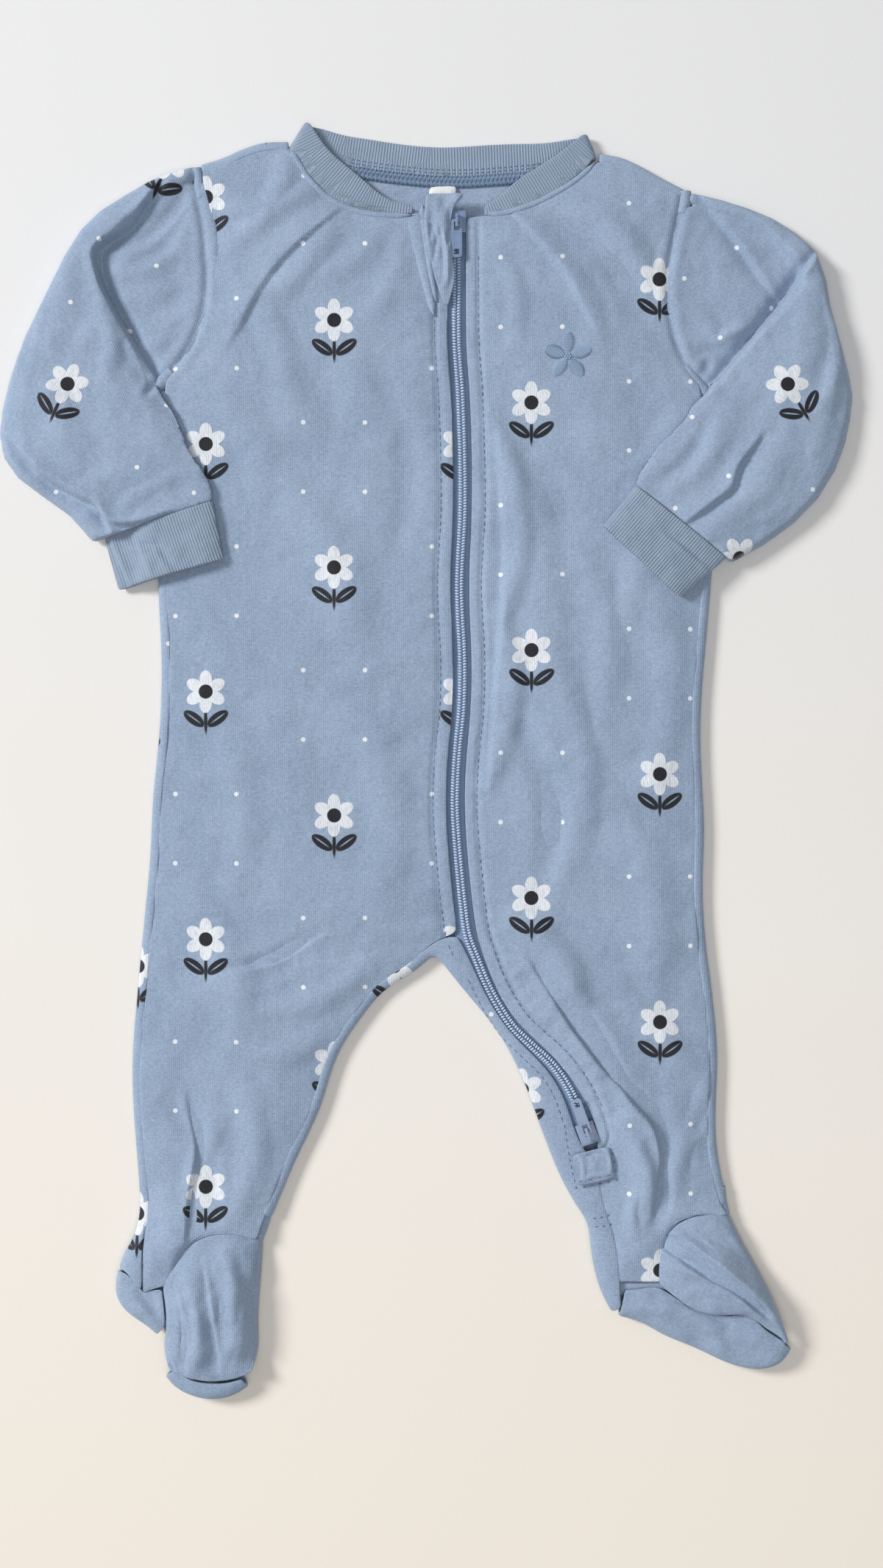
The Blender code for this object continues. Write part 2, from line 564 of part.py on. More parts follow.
def body_rows():
    """The sampled rows that the fronts, the back and the zip share."""
    yoke_right = np.array(RIGHT_YOKE, dtype=float)
    yoke_left = np.array(LEFT_YOKE, dtype=float)
    body = smooth_rows([(row.right_side, row.y, row.left_side, row.y, row.zip_x) for row in BODY], 15)
    crotch = np.array(RIGHT_CROTCH, dtype=float)
    leg_right = smooth_rows(RIGHT_LEG, 10)
    fan_right = np.array(RIGHT_FAN, dtype=float)
    leg_left = smooth_rows([(*row[:4], *row[4:]) for row in LEFT_LEG], 10)
    shin_left = np.array(LEFT_SHIN, dtype=float)
    fan_left = np.array(LEFT_FAN, dtype=float)
    return yoke_right, yoke_left, body, crotch, leg_right, fan_right, leg_left, shin_left, fan_left


def build_body(suit, cloth):
    yoke_right, yoke_left, body, crotch, leg_right, fan_right, leg_left, shin_left, fan_left = body_rows()
    inset = WRAP + SEAM_GAP

    # Wearer's right side and leg
    side_right = np.vstack([body[:, :2], crotch[:, :2], leg_right[:, :2]])
    out_right = outward(side_right, -1)
    inner_right = leg_right[:, 2:4]
    in_right = outward(inner_right, 1)
    ankle_right = ankle_seam(FOOT_RIGHT[0], fan_right[:, 2])
    outer = np.vstack([yoke_right[:, :2], side_right - out_right * inset, fan_right[:, :2]])
    placket = np.stack([body[:, 4] - ZIP_OPENING, body[:, 1]], axis=1)
    inner = np.vstack([yoke_right[:, 2:4], placket, crotch[:, 2:4], inner_right - in_right * inset, ankle_right])
    bow = np.concatenate([yoke_right[:, 4], ankle_bow(side_right[:, 1]), fan_right[:, 3]])
    flat = len(inner) - len(yoke_right) - len(body) - 1
    rise = np.concatenate([yoke_right[:, 5], np.ones(len(body) + 1), np.zeros(flat)])
    top, down = shoulder_seam(SHOULDER_RIGHT, 1)
    top_row = (top + down * inset)[::-1]
    panel("front_right", np.vstack([top_row[:1], outer]), np.vstack([top_row[-1:], inner]),
          np.concatenate([[0], bow]), np.concatenate([[0], rise]), top_row, cloth, suit)

    # Wearer's left side and leg, which carries the zip
    leg = np.vstack([leg_left, shin_left])
    side_left = np.vstack([body[:, 2:4], leg[:, :2]])
    out_left = outward(side_left, 1)
    zip_path = np.vstack([np.stack([body[:, 4], body[:, 1]], axis=1), leg[:, 2:4]])
    opening = np.concatenate([np.full(len(body), ZIP_OPENING), leg[:, 4]])[:, None]
    zip_normal = outward(zip_path, 1)
    ankle_left = ankle_seam(FOOT_LEFT[0], fan_left[:, 2])
    outer = np.vstack([yoke_left[:, :2], side_left - out_left * inset, ankle_left])
    inner = np.vstack([yoke_left[:, 2:4], zip_path + zip_normal * opening, fan_left[:, :2]])
    bow = np.concatenate([yoke_left[:, 4], ankle_bow(side_left[:, 1]), fan_left[:, 3]])
    rise = np.concatenate([yoke_left[:, 5], np.ones(len(body) + len(leg_left)), np.zeros(len(shin_left) + len(fan_left))])
    top, down = shoulder_seam(SHOULDER_LEFT, -1)
    top_row = (top + down * inset)[::-1]
    panel("front_left", np.vstack([top_row[:1], outer]), np.vstack([top_row[-1:], inner]),
          np.concatenate([[0], bow]), np.concatenate([[0], rise]), top_row, cloth, suit)

    # The back, from the right shoulder round the garment and up to the left one
    shoulder_right, down_right = shoulder_seam(SHOULDER_RIGHT, 1)
    shoulder_left, down_left = shoulder_seam(SHOULDER_LEFT, -1)
    wrap_left = (zip_path - zip_normal * opening)[len(body):]
    band_seam = np.array([row[:2] for row in BAND_BACK])
    band_free = np.array([row[2:4] for row in BAND_BACK])
    away = (band_seam - band_free) / np.linalg.norm(band_seam - band_free, axis=1)[:, None]
    neckline = band_seam + away * (SEAM_GAP + 0.1)
    stretches = [
        ("rim", np.hstack([shoulder_right, shoulder_right + down_right * WRAP])),
        ("seam", yoke_right[:, :2]),
        ("rim", np.vstack([np.hstack([side_right, side_right - out_right * WRAP]), HEEL_RIGHT])),
        ("seam", [(-121, -232.6), (-104, -229), (-80, -216)]),
        ("rim", np.vstack([
            np.hstack([inner_right, inner_right - in_right * WRAP])[::-1], CROTCH_RIM,
            np.hstack([nearest(leg[:, 5:7], wrap_left), wrap_left]), HEEL_LEFT,
        ])),
        ("seam", [(86, -229.4), (101, -226), (125, -205)]),
        ("rim", np.hstack([side_left, side_left - out_left * WRAP])[::-1]),
        ("seam", yoke_left[::-1, :2]),
        ("rim", np.hstack([shoulder_left, shoulder_left + down_left * WRAP])[::-1]),
        ("seam", [(73.8, 261.2), *neckline[::-1], (-58.4, 265.0)]),
    ]
    tray_object("back", stretches, cloth, suit)


def build_band(suit, rib):
    """The neckband lies doubled: its back half on the floor, its front half on the fronts."""
    grid = []

    def section(seam, free, z):
        grid.append([(*(seam + (free - seam) * k / 3), z) for k in range(4)])

    def half_turn(row, outward_x, first_z, last_z):
        seam, free = np.array(row[:2]), np.array(row[2:4])
        across = free - seam
        out = np.array([-across[1], across[0]]) / np.linalg.norm(across)
        out = out if out[0] * outward_x > 0 else -out
        radius = abs(last_z - first_z) / 2
        for k in range(1, 6):
            turn = pi * k / 6
            push = out * radius * sin(turn)
            section(seam + push, free + push, (first_z + last_z) / 2 + (first_z - last_z) / 2 * cos(turn))

    def flat(rows, z):
        for row in rows:
            section(np.array(row[:2]), np.array(row[2:4]), z)

    flat(BAND_FRONT_RIGHT, BAND_TOP_MID)
    half_turn(BAND_FRONT_RIGHT[-1], -1, BAND_TOP_MID, BAND_LOW_MID)
    flat([BAND_FRONT_RIGHT[-1], *BAND_BACK, BAND_FRONT_LEFT[0]], BAND_LOW_MID)
    half_turn(BAND_FRONT_LEFT[0], 1, BAND_LOW_MID, BAND_TOP_MID)
    flat(BAND_FRONT_LEFT, BAND_TOP_MID)
    made = grid_object("neckband", grid, rib, suit)
    wall = made.modifiers.new("wall", "SOLIDIFY")
    wall.thickness = RIB_CLOTH * MM
    wall.offset = 0


def build_sleeve(side, yoke, arm, roll, cuff, edge, suit, tools, cloth, rib):
    """The folded sleeve: a roll from shoulder to cuff, joined to the flat upper arm beneath it."""
    body_edge = np.array([(row.y, row.right_side if edge < 0 else row.left_side) for row in BODY])[::-1]

    def floor_at(x, y):
        if y > BODY[0].y + 6:
            return 0.0
        beyond = edge * (x - np.interp(y, body_edge[:, 0], body_edge[:, 1]))
        v = min(max((-beyond - WRAP) / 117, 0.0), 0.5)
        lifted = BODY_EDGE + ARM_CLEAR + FULLNESS * swell(v)
        return lifted * (1 - min(max((beyond - ARM_OUTSIDE) / ARM_RAMP, 0.0), 1.0))

    rings = [ring_points(row[:2], row[2:4], row[4], floor_at) for row in smooth_rows(roll, 19)]
    made = ring_body("sleeve_" + side, rings, cloth, suit, capped=True)
    armhole = np.array(yoke, dtype=float)[:, :2]
    armhole += outward(armhole, edge) * (SEAM_GAP + 0.1)
    under = smooth_rows([(x, y, 0, 0) for x, y in arm], len(armhole))[:, :2]
    across = 3
    grid = [
        [(*(inner + (outer - inner) * k / across), UPPER_ARM_TOP) for k in range(across + 1)]
        for inner, outer in zip(armhole, under)
    ]
    upper_arm = grid_object("upper_arm_" + side, grid, cloth, tools)
    face_down_or_up(upper_arm, up=True)
    thicken(upper_arm, UPPER_ARM_TOP - UPPER_ARM_BOTTOM)
    upper_arm.hide_render = True
    upper_arm.display_type = "WIRE"
    join(made, upper_arm, "UNION")

    rings = [ring_points(row[:2], row[2:4], row[4], floor_at, height_low=4.8) for row in smooth_rows(cuff, 5)]
    band = ring_body("cuff_" + side, rings, rib, suit, capped=False)
    thicken(band, RIB_CLOTH - 0.2)


def foot_grid(table, columns):
    rows = smooth_rows(table, 9)
    grid = []
    for i, row in enumerate(rows):
        bow, left_z, right_z, crest = row[4:]
        line = []
        for j in range(columns):
            v = (1 - cos(pi * j / (columns - 1))) / 2
            place = bowed(row[:2], row[2:4], bow, v)
            level = left_z * (1 - v) + right_z * v
            crown = (1 - abs(2 * v - 1) ** 3) ** (1 / 3)
            raised = fold_height(*place) * crown * smooth_step(i / 3)
            line.append((place[0], place[1], level + (crest - level) * crown + raised))
        grid.append(line)
    return grid


def build_feet(suit, cloth):
    for side, table in (("right", FOOT_RIGHT), ("left", FOOT_LEFT)):
        made = grid_object("foot_upper_" + side, foot_grid(table, 11), cloth, suit)
        face_down_or_up(made, up=True)
        thicken(made, CLOTH)
    tray_object("foot_sole_right", [
        ("rim", SOLE_HEEL_RIGHT),
        ("seam", [(-112.4, -254), (-112.2, -262)]),
        ("rim", SOLE_TOE_RIGHT),
        ("seam", [(-77.4, -264), (-76.2, -256), (-76.4, -244), (-75.4, -232), (-74.6, -219), (-80, -216.5),
                  (-104, -229.5), (-121, -233.2)]),
    ], cloth, suit)
    tray_object("foot_sole_left", [
        ("rim", SOLE_LEFT),
        ("seam", [(153.5, -247.5), (150.2, -238), (146, -228.5), (140.2, -219), (133.5, -208.5), (127.5, -206),
                  (101.5, -226.9), (94, -230), (87.4, -230.6)]),
    ], cloth, suit)


def build_zip(suit, tools, tape, enamel):
    rows = body_rows()
    body, leg_left = rows[2], rows[6]
    top = [(TOP_SLIDER_X, 237.0, ZIP_OPENING), (TOP_SLIDER_X, 222, ZIP_OPENING), (TOP_SLIDER_X, 200, ZIP_OPENING),
           (13.5, 182, ZIP_OPENING), (14.3, 171, ZIP_OPENING)]
    path = top + [(row[4], row[1], ZIP_OPENING) for row in body] + [(row[2], row[3], row[4]) for row in leg_left[:-1]]
    way = np.array(BOTTOM_SLIDER_WAY) / np.linalg.norm(BOTTOM_SLIDER_WAY)
    slider = np.array(BOTTOM_SLIDER)
    end = slider + way * 2.2
    path.append((*end, path[-1][2]))
    path = np.array(path)
    normal = outward(path[:, :2], 1)
    coil = [(-COIL_HALF, TAPE_TOP), (-1.4, COIL_TOP - 0.3), (0, COIL_TOP), (1.4, COIL_TOP - 0.3), (COIL_HALF, TAPE_TOP)]
    grid = []
    for (x, y, opening), n in zip(path, normal):
        half = opening + TAPE_SPARE
        section = [(-half, TAPE_BOTTOM), (-half, TAPE_TOP), *coil, (half, TAPE_TOP), (half, TAPE_BOTTOM)]
        grid.append([(x + n[0] * w, y + n[1] * w, z) for w, z in section])
    ring_body("zip_chain", grid, tape, suit, capped=True)

    build_slider("top", (TOP_SLIDER_X, TOP_SLIDER_Y), 0.0, suit, tools, enamel)
    build_slider("bottom", tuple(slider), atan2(-way[0], way[1]), suit, tools, enamel)


def build_slider(end, place, turn, suit, tools, enamel):
    """A slider's two plates, post, side flanges and bridge, and the pull that hangs in the bridge."""
    half_length = SLIDER_LENGTH / 2
    plate_bottom = SLIDER_TOP - 0.9
    body = box("slider_" + end, (-SLIDER_HALF, -half_length, plate_bottom), (SLIDER_HALF, half_length, SLIDER_TOP), suit, enamel)
    pieces = {
        "floor": ((-SLIDER_HALF, -half_length, 1.5), (SLIDER_HALF, half_length, 2.3)),
        "post": ((-0.8, 2.8, 2.0), (0.8, 4.2, plate_bottom + 0.2)),
        "flange_a": ((-SLIDER_HALF + 0.01, -half_length + 0.6, 3.9), (-2.35, half_length - 0.6, plate_bottom + 0.2)),
        "flange_b": ((2.35, -half_length + 0.6, 3.9), (SLIDER_HALF - 0.01, half_length - 0.6, plate_bottom + 0.2)),
        "foot_a": ((-0.55, -2.85, SLIDER_TOP - 0.2), (0.55, -1.95, 8.5)),
        "foot_b": ((-0.55, 1.95, SLIDER_TOP - 0.2), (0.55, 2.85, 8.5)),
        "bridge": ((-0.6, -2.9, 8.25), (0.6, 2.9, 9.1)),
    }
    parts = [body]
    for name, (low, high) in pieces.items():
        parts.append(box("slider_%s_%s" % (name, end), low, high, tools, enamel))
    for other in parts[1:]:
        join(body, other, "UNION")
    for item in parts:
        item.location = placed(*place)
        item.rotation_euler = (0, 0, turn)
    for item in parts[1:]:
        item.hide_render = True
        item.display_type = "WIRE"

    hinge = bpy.data.objects.new("hinge_" + end, None)
    suit.objects.link(hinge)
    hinge.location = placed(*place, PULL_AXIS_Z)
    hinge.rotation_euler = (0, 0, turn)
    pull = box("pull_" + end, (-2.4, -PULL_LENGTH, -PULL_THICK / 2), (2.4, PULL_THICK / 2, PULL_THICK / 2), suit, enamel)
    pull.parent = hinge
    eye = box("pull_eye_" + end, (-1.2, -4.3, -2), (1.2, -PULL_THICK / 2, 2), tools, enamel)
    window = box("pull_window_" + end, (-1.1, -PULL_LENGTH + 1.3, -2), (1.1, -PULL_LENGTH + 3.6, 2), tools, enamel)
    for cutter in (eye, window):
        cutter.parent = hinge
        cutter.hide_render = True
        cutter.display_type = "WIRE"
        join(pull, cutter, "DIFFERENCE")
    corners = bmesh.new()
    corners.from_mesh(pull.data)
    upright = [e for e in corners.edges if abs(e.verts[0].co.z - e.verts[1].co.z) > PULL_THICK * MM / 2]
    bmesh.ops.bevel(corners, geom=upright, offset=1.1 * MM, segments=3, affect="EDGES", profile=0.5)
    corners.to_mesh(pull.data)
    corners.free()


def flap(name, table, count, thickness, finish, home):
    columns = 5
    grid = []
    for row in smooth_rows(table, count):
        left, right = row[:2], row[2:4]
        grid.append([(*(left + (right - left) * k / (columns - 1)), row[4]) for k in range(columns)])
    made = grid_object(name, grid, finish, home)
    face_down_or_up(made, up=True)
    thicken(made, thickness)


def build_flaps(suit, cloth, white):
    flap("zip_guard", GUARD, 9, CLOTH, cloth, suit)
    flap("zip_patch", PATCH, 4, CLOTH, cloth, suit)
    flap("neck_label", LABEL, 3, CLOTH, white, suit)


build()
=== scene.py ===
"""Dresses the baby's sleepsuit: brushed knit cloth and its folds, ribbed bands, zip, stitches and floor.

Tables are in millimetres, in the same axes as the part's own: x to the viewer's right, y towards the neck.
"""

from collections import namedtuple
from math import atan2, cos, pi, radians, sin

import bmesh
import bpy
import numpy as np
from mathutils import Matrix, Vector, noise
from mathutils.bvhtree import BVHTree


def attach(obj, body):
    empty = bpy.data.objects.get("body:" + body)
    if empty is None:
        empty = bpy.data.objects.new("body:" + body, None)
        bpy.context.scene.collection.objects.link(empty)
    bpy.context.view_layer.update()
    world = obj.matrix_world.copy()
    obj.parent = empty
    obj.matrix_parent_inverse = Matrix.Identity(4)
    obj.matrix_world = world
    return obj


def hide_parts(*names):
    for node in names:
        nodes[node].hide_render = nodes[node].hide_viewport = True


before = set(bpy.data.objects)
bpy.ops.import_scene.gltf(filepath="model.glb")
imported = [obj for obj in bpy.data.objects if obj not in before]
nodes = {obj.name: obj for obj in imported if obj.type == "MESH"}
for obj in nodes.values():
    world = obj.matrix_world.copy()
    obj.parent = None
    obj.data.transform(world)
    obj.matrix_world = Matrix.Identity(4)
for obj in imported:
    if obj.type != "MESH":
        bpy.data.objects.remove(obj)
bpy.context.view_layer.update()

# A millimetre in metres, and where the row's origin lies in the tables
MM = 0.001
ORIGIN_X = 0.086
ORIGIN_Y = -0.541
# The camera's sensor in millimetres; its height, and the length of floor that it sees, in metres
SENSOR = 36
CAMERA_HEIGHT = 0.85
VIEW_LENGTH = 0.686
CLOTH_LEVELS = 3
BACK_LEVELS = 2
PATCH_LEVELS = 4
SLEEVE_GRAIN = 0.85
SLEEVE_EASING = 9
# Points closer than this, in metres, are one point
WELD = 2e-6
CREASE = 0.45
# In millimetres: how far pieces are filled out, their lowest skin, and the layer that reaches to a seam
FILL_OUT = 0.45
THINNEST = 0.8
LOWER_LAYER = 6.2
SEAM_REACH = 2.4
LINE_POINTS = 70

Fold = namedtuple("Fold", "from_x from_y to_x to_y width height")
Ledge = namedtuple("Ledge", "line left right reach")
Centre = namedtuple("Centre", "x y opening")
Cut = namedtuple("Cut", "width length area held rests_on")

# The middle line of the zip, from the neck into the left leg, and half the gap between the fronts
ZIP_LINE = [
    Centre(13.4, 237, 4.5), Centre(13.4, 222, 4.5), Centre(13.4, 200, 4.5), Centre(13.5, 182, 4.5),
    Centre(15, 161, 4.5), Centre(15.6, 147, 4.5), Centre(16, 133, 4.5), Centre(16, 105, 4.5),
    Centre(15.2, 91, 4.5), Centre(14.6, 77, 4.5), Centre(15, 63, 4.5), Centre(15.8, 49, 4.5),
    Centre(16, 35, 4.5), Centre(15.5, 21, 4.5), Centre(14, 7, 4.5), Centre(13, -7, 4.5),
    Centre(12.7, -21, 4.5), Centre(13.5, -35, 4.5), Centre(14.7, -49, 4.5), Centre(16.2, -63, 4.5),
    Centre(18.5, -77.5, 4.2), Centre(22, -86.5, 3.4), Centre(26.3, -97, 3.0), Centre(31.7, -107.3, 3.0),
    Centre(38, -116.6, 3.0), Centre(46.5, -124.9, 3.1), Centre(55.5, -133.4, 3.3),
    Centre(62.5, -143.5, 3.9), Centre(67.5, -154.5, 4.8), Centre(70.6, -163.8, 5.1),
]
TAPE_SPARE = 1.2
TOOTH_PITCH = 1.25

# Folds and creases that the solids are too plain for; a negative height is a hollow
FRONT_FOLDS = [
    Fold(-60, 262, -84, 226, 9, 1.0), Fold(-48, 252, -84, 240, 8, 0.9), Fold(-40, 236, -86, 196, 10, 0.9),
    Fold(-20, 232, -50, 210, 9, 0.6), Fold(-10, 226, -30, 190, 8, 0.5), Fold(-86, 212, -60, 160, 10, 0.7),
    Fold(-98, 165, -70, 120, 12, 0.8), Fold(-70, 186, -36, 140, 14, -0.7),
    Fold(-20, 170, -14, 90, 10, -0.6), Fold(-60, 120, -30, 40, 16, 0.8), Fold(-96, 30, -84, -60, 12, 0.7),
    Fold(-30, 20, -20, -60, 14, 0.7), Fold(-100, -60, -84, -130, 14, 0.9),
    Fold(-56, -84, -84, -92, 9, -0.9), Fold(-26, -90, -70, -108, 9, 0.9),
    Fold(-42, -118, -80, -128, 9, 0.7), Fold(-110, -150, -96, -200, 9, -1.0),
    Fold(-80, -140, -84, -200, 10, 0.9), Fold(-96, -196, -90, -156, 8, 0.8),
    Fold(28, 150, 33, 60, 8, 1.1), Fold(33, 60, 26, -10, 8, 1.0), Fold(45, 130, 62, 90, 11, -0.8),
    Fold(62, 100, 74, 10, 12, 0.9), Fold(40, 20, 50, -60, 10, -0.8), Fold(58, 40, 60, -50, 11, 0.9),
    Fold(90, 130, 84, 60, 12, 0.8), Fold(100, 70, 92, -20, 12, 0.7), Fold(66, 240, 96, 214, 9, 1.0),
    Fold(58, 236, 92, 196, 10, -0.7), Fold(40, 232, 74, 180, 10, 0.7), Fold(30, 224, 38, 180, 7, 0.6),
    Fold(112, 152, 84, 124, 10, 0.8), Fold(84, -20, 96, -110, 14, 0.8), Fold(40, -70, 66, -104, 10, 1.2),
    Fold(46, -96, 84, -150, 8, -1.6), Fold(84, -100, 112, -150, 12, 0.9),
    Fold(104, -130, 118, -176, 10, -0.9), Fold(86, -160, 94, -196, 7, 1.2),
    Fold(98, -168, 100, -204, 6, -1.1), Fold(108, -186, 122, -160, 8, 0.8),
    Fold(90, -206, 96, -184, 5, 0.9), Fold(118, -176, 124, -140, 7, 0.6),
]
SLEEVE_FOLDS = [
    Fold(-110, 254, -140, 234, 7, 1.2), Fold(-104, 250, -134, 224, 5, -1.0),
    Fold(-141, 196, -138, 168, 7, 1.3), Fold(-150, 214, -160, 176, 9, -0.8),
    Fold(-178, 166, -150, 128, 12, 0.9), Fold(-128, 172, -112, 146, 9, -0.9),
    Fold(-168, 150, -128, 146, 12, -0.6), Fold(-150, 118, -116, 122, 9, 1.1),
    Fold(-132, 108, -100, 124, 6, 0.9), Fold(-108, 222, -134, 214, 7, 0.8),
    Fold(-104, 204, -130, 196, 8, -0.8), Fold(-112, 186, -130, 180, 6, 0.6),
    Fold(-106, 238, -128, 216, 5, -0.7), Fold(-112, 232, -102, 196, 8, 0.6),
    Fold(128, 184, 146, 187.5, 5, 1.6), Fold(118, 178, 134, 176, 5, -1.2),
    Fold(113, 196, 128, 186, 6, 0.8), Fold(124, 176, 120, 168, 4, -1.0),
    Fold(176.5, 200, 172, 154, 6, 1.2), Fold(184, 190, 180, 150, 6, -0.8),
    Fold(166, 200, 150, 150, 11, 0.8), Fold(130, 150, 108, 118, 8, 1.0),
    Fold(122, 146, 100, 120, 6, -0.9), Fold(158, 150, 118, 96, 9, 0.8), Fold(150, 226, 164, 214, 5, 1.0),
    Fold(168, 132, 134, 98, 10, -0.6),
]
# The edges of the folded layers: height on the left and on the right of the line, as it is walked along
SLEEVE_LEDGES = [
    Ledge([(-118, 249), (-129, 234), (-144.4, 220.8), (-143, 211.6), (-137.8, 199.8),
           (-128.6, 184), (-119.4, 169.5), (-113, 159)], -2.4, 1.3, 4.2),
    Ledge([(-178.6, 136.8), (-169, 126), (-160.2, 119.8), (-150, 114), (-143, 110.4),
           (-139, 102.5)], 1.2, -2.6, 5.0),
    Ledge([(-143, 108), (-136, 103), (-124, 103), (-112, 107)], 1.2, -1.3, 3.5),
    Ledge([(168.5, 218.2), (156.7, 201.1), (143.6, 185.3), (130.4, 169.5), (124, 162)], 1.3, -2.6, 4.0),
    Ledge([(120, 247), (138.3, 223.4), (146.2, 211.6), (152, 204)], 0.5, -1.2, 4.5),
    Ledge([(144, 138), (135.7, 126.2), (133, 118.3), (125.2, 111.7), (114.6, 103.8)], -1.1, 1.0, 4.5),
]
FRONT_LEDGES = [
    Ledge([(48, -92), (56, -104), (65, -118), (75, -131), (84, -141), (90.5, -149), (99, -159),
           (102.4, -173), (100, -192)], -2.2, 2.0, 5.5),
    Ledge([(-104, -150), (-100, -170), (-103, -190), (-104, -205)], -1.4, 1.2, 4.5),
    Ledge([(40, 236), (60, 212), (72, 190)], 0.9, -0.9, 6),
    Ledge([(-40, 238), (-66, 214), (-84, 184)], -0.9, 0.9, 7),
    Ledge([(-48, -78), (-66, -88), (-86, -92)], 0.9, -1.2, 5),
    Ledge([(31, 140), (34, 90), (30, 30), (27, -10)], 0.9, -0.8, 5),
]
CUFF_LEDGES = [
    Ledge([(-139.4, 98.2), (-134, 86), (-129.1, 75.3)], 0.9, -0.8, 2.6),
    Ledge([(-128, 98.2), (-124, 89), (-120, 79.9)], 0.7, -0.6, 2.2),
    Ledge([(-117.7, 94), (-113, 86), (-108.5, 79.9)], -0.6, 0.6, 2.2),
    Ledge([(122, 84), (112, 92), (104, 98)], 0.6, -0.6, 2.4),
]
FOOT_LEDGES = [
    Ledge([(103, -213), (112, -218.5), (121, -224), (134, -231), (146, -241)], -2.2, 2.0, 4.2),
    Ledge([(104, -206), (113, -209.5), (123, -216.5), (135, -225.5), (147, -237)], 1.6, -1.6, 3.6),
    Ledge([(-108, -232), (-104, -246), (-104, -262)], 1.2, -1.4, 4),
    Ledge([(-96, -222), (-93, -240), (-90, -262)], 1.0, -1.2, 4),
]
RIGHT_ARMHOLE = [
    (-101.5, 258), (-100.5, 248), (-98, 236), (-96.5, 222), (-96, 206), (-98, 194), (-103, 182),
    (-110, 172), (-117, 165), (-121, 160),
]
LEFT_ARMHOLE = [
    (113.3, 248.4), (109.4, 231.3), (106.4, 218), (105.7, 205), (106.8, 193.2), (111.4, 177.4),
    (116, 170), (122.6, 162.9),
]
FOOT_FOLDS = [
    Fold(-108, -226, -106, -262, 5, -1.3), Fold(-94, -222, -92, -262, 6, -1.2),
    Fold(-80, -222, -78, -262, 5, -0.9), Fold(-87, -214, -87, -246, 5, 0.9),
    Fold(-100, -240, -102, -268, 5, 0.9), Fold(112, -206, 124, -216, 5, -1.0),
    Fold(108, -212, 140, -232, 6, 1.2), Fold(120, -206, 148, -228, 6, -1.6),
    Fold(116, -226, 138, -234, 5, -1.2), Fold(126, -204, 146, -226, 5, 0.8),
]
SOLE_FOLDS = [
    Fold(-130, -228, -118, -240, 5, -1.0), Fold(-126, -238, -118, -246, 4, 0.7),
    Fold(92, -238, 130, -254, 6, 1.0), Fold(100, -234, 132, -246, 4, -1.1),
    Fold(130, -252, 152, -256, 6, 0.9), Fold(118, -252, 146, -262, 5, -0.7),
]


def at(x, y, z=0.0):
    """A point in the row's metres, for the tables' millimetres."""
    return Vector(((x - ORIGIN_X) * MM, (y - ORIGIN_Y) * MM, z * MM))


def apply(piece, modifier):
    for item in bpy.context.selected_objects:
        item.select_set(False)
    piece.select_set(True)
    bpy.context.view_layer.objects.active = piece
    bpy.ops.object.modifier_apply(modifier=modifier.name)


def add_piece(name, mesh):
    piece = bpy.data.objects.new(name, mesh)
    bpy.context.scene.collection.objects.link(piece)
    return piece


def read_points(mesh, kind="co"):
    """The places of a mesh's vertices, or their normals, as rows of three."""
    values = np.empty(len(mesh.vertices) * 3)
    mesh.vertices.foreach_get(kind, values)
    return values.reshape(-1, 3)


def write_points(mesh, places):
    mesh.vertices.foreach_set("co", places.ravel())
    mesh.update()


def in_table(places):
    """The tables' millimetres, for the row's metres."""
    return places / MM + np.array([ORIGIN_X, ORIGIN_Y, 0])


# Materials
class Value:
    """One socket of a material. Arithmetic on it adds Math nodes."""

    def __init__(self, finish, socket):
        self.finish = finish
        self.socket = socket

    def math(self, operation, *terms, **settings):
        inputs = dict(enumerate([self, *terms]))
        return self.finish.add("ShaderNodeMath", {"operation": operation, **settings}, inputs)

    def __add__(self, other):
        return self.math("ADD", other)

    def __sub__(self, other):
        return self.math("SUBTRACT", other)

    def __rsub__(self, other):
        return (self * -1) + other

    def __mul__(self, other):
        return self.math("MULTIPLY", other)

    def __truediv__(self, other):
        return self.math("DIVIDE", other)

    def clamped(self):
        return self.math("ADD", 0.0, use_clamp=True)

    def greatest(self, other):
        return self.math("MAXIMUM", other)


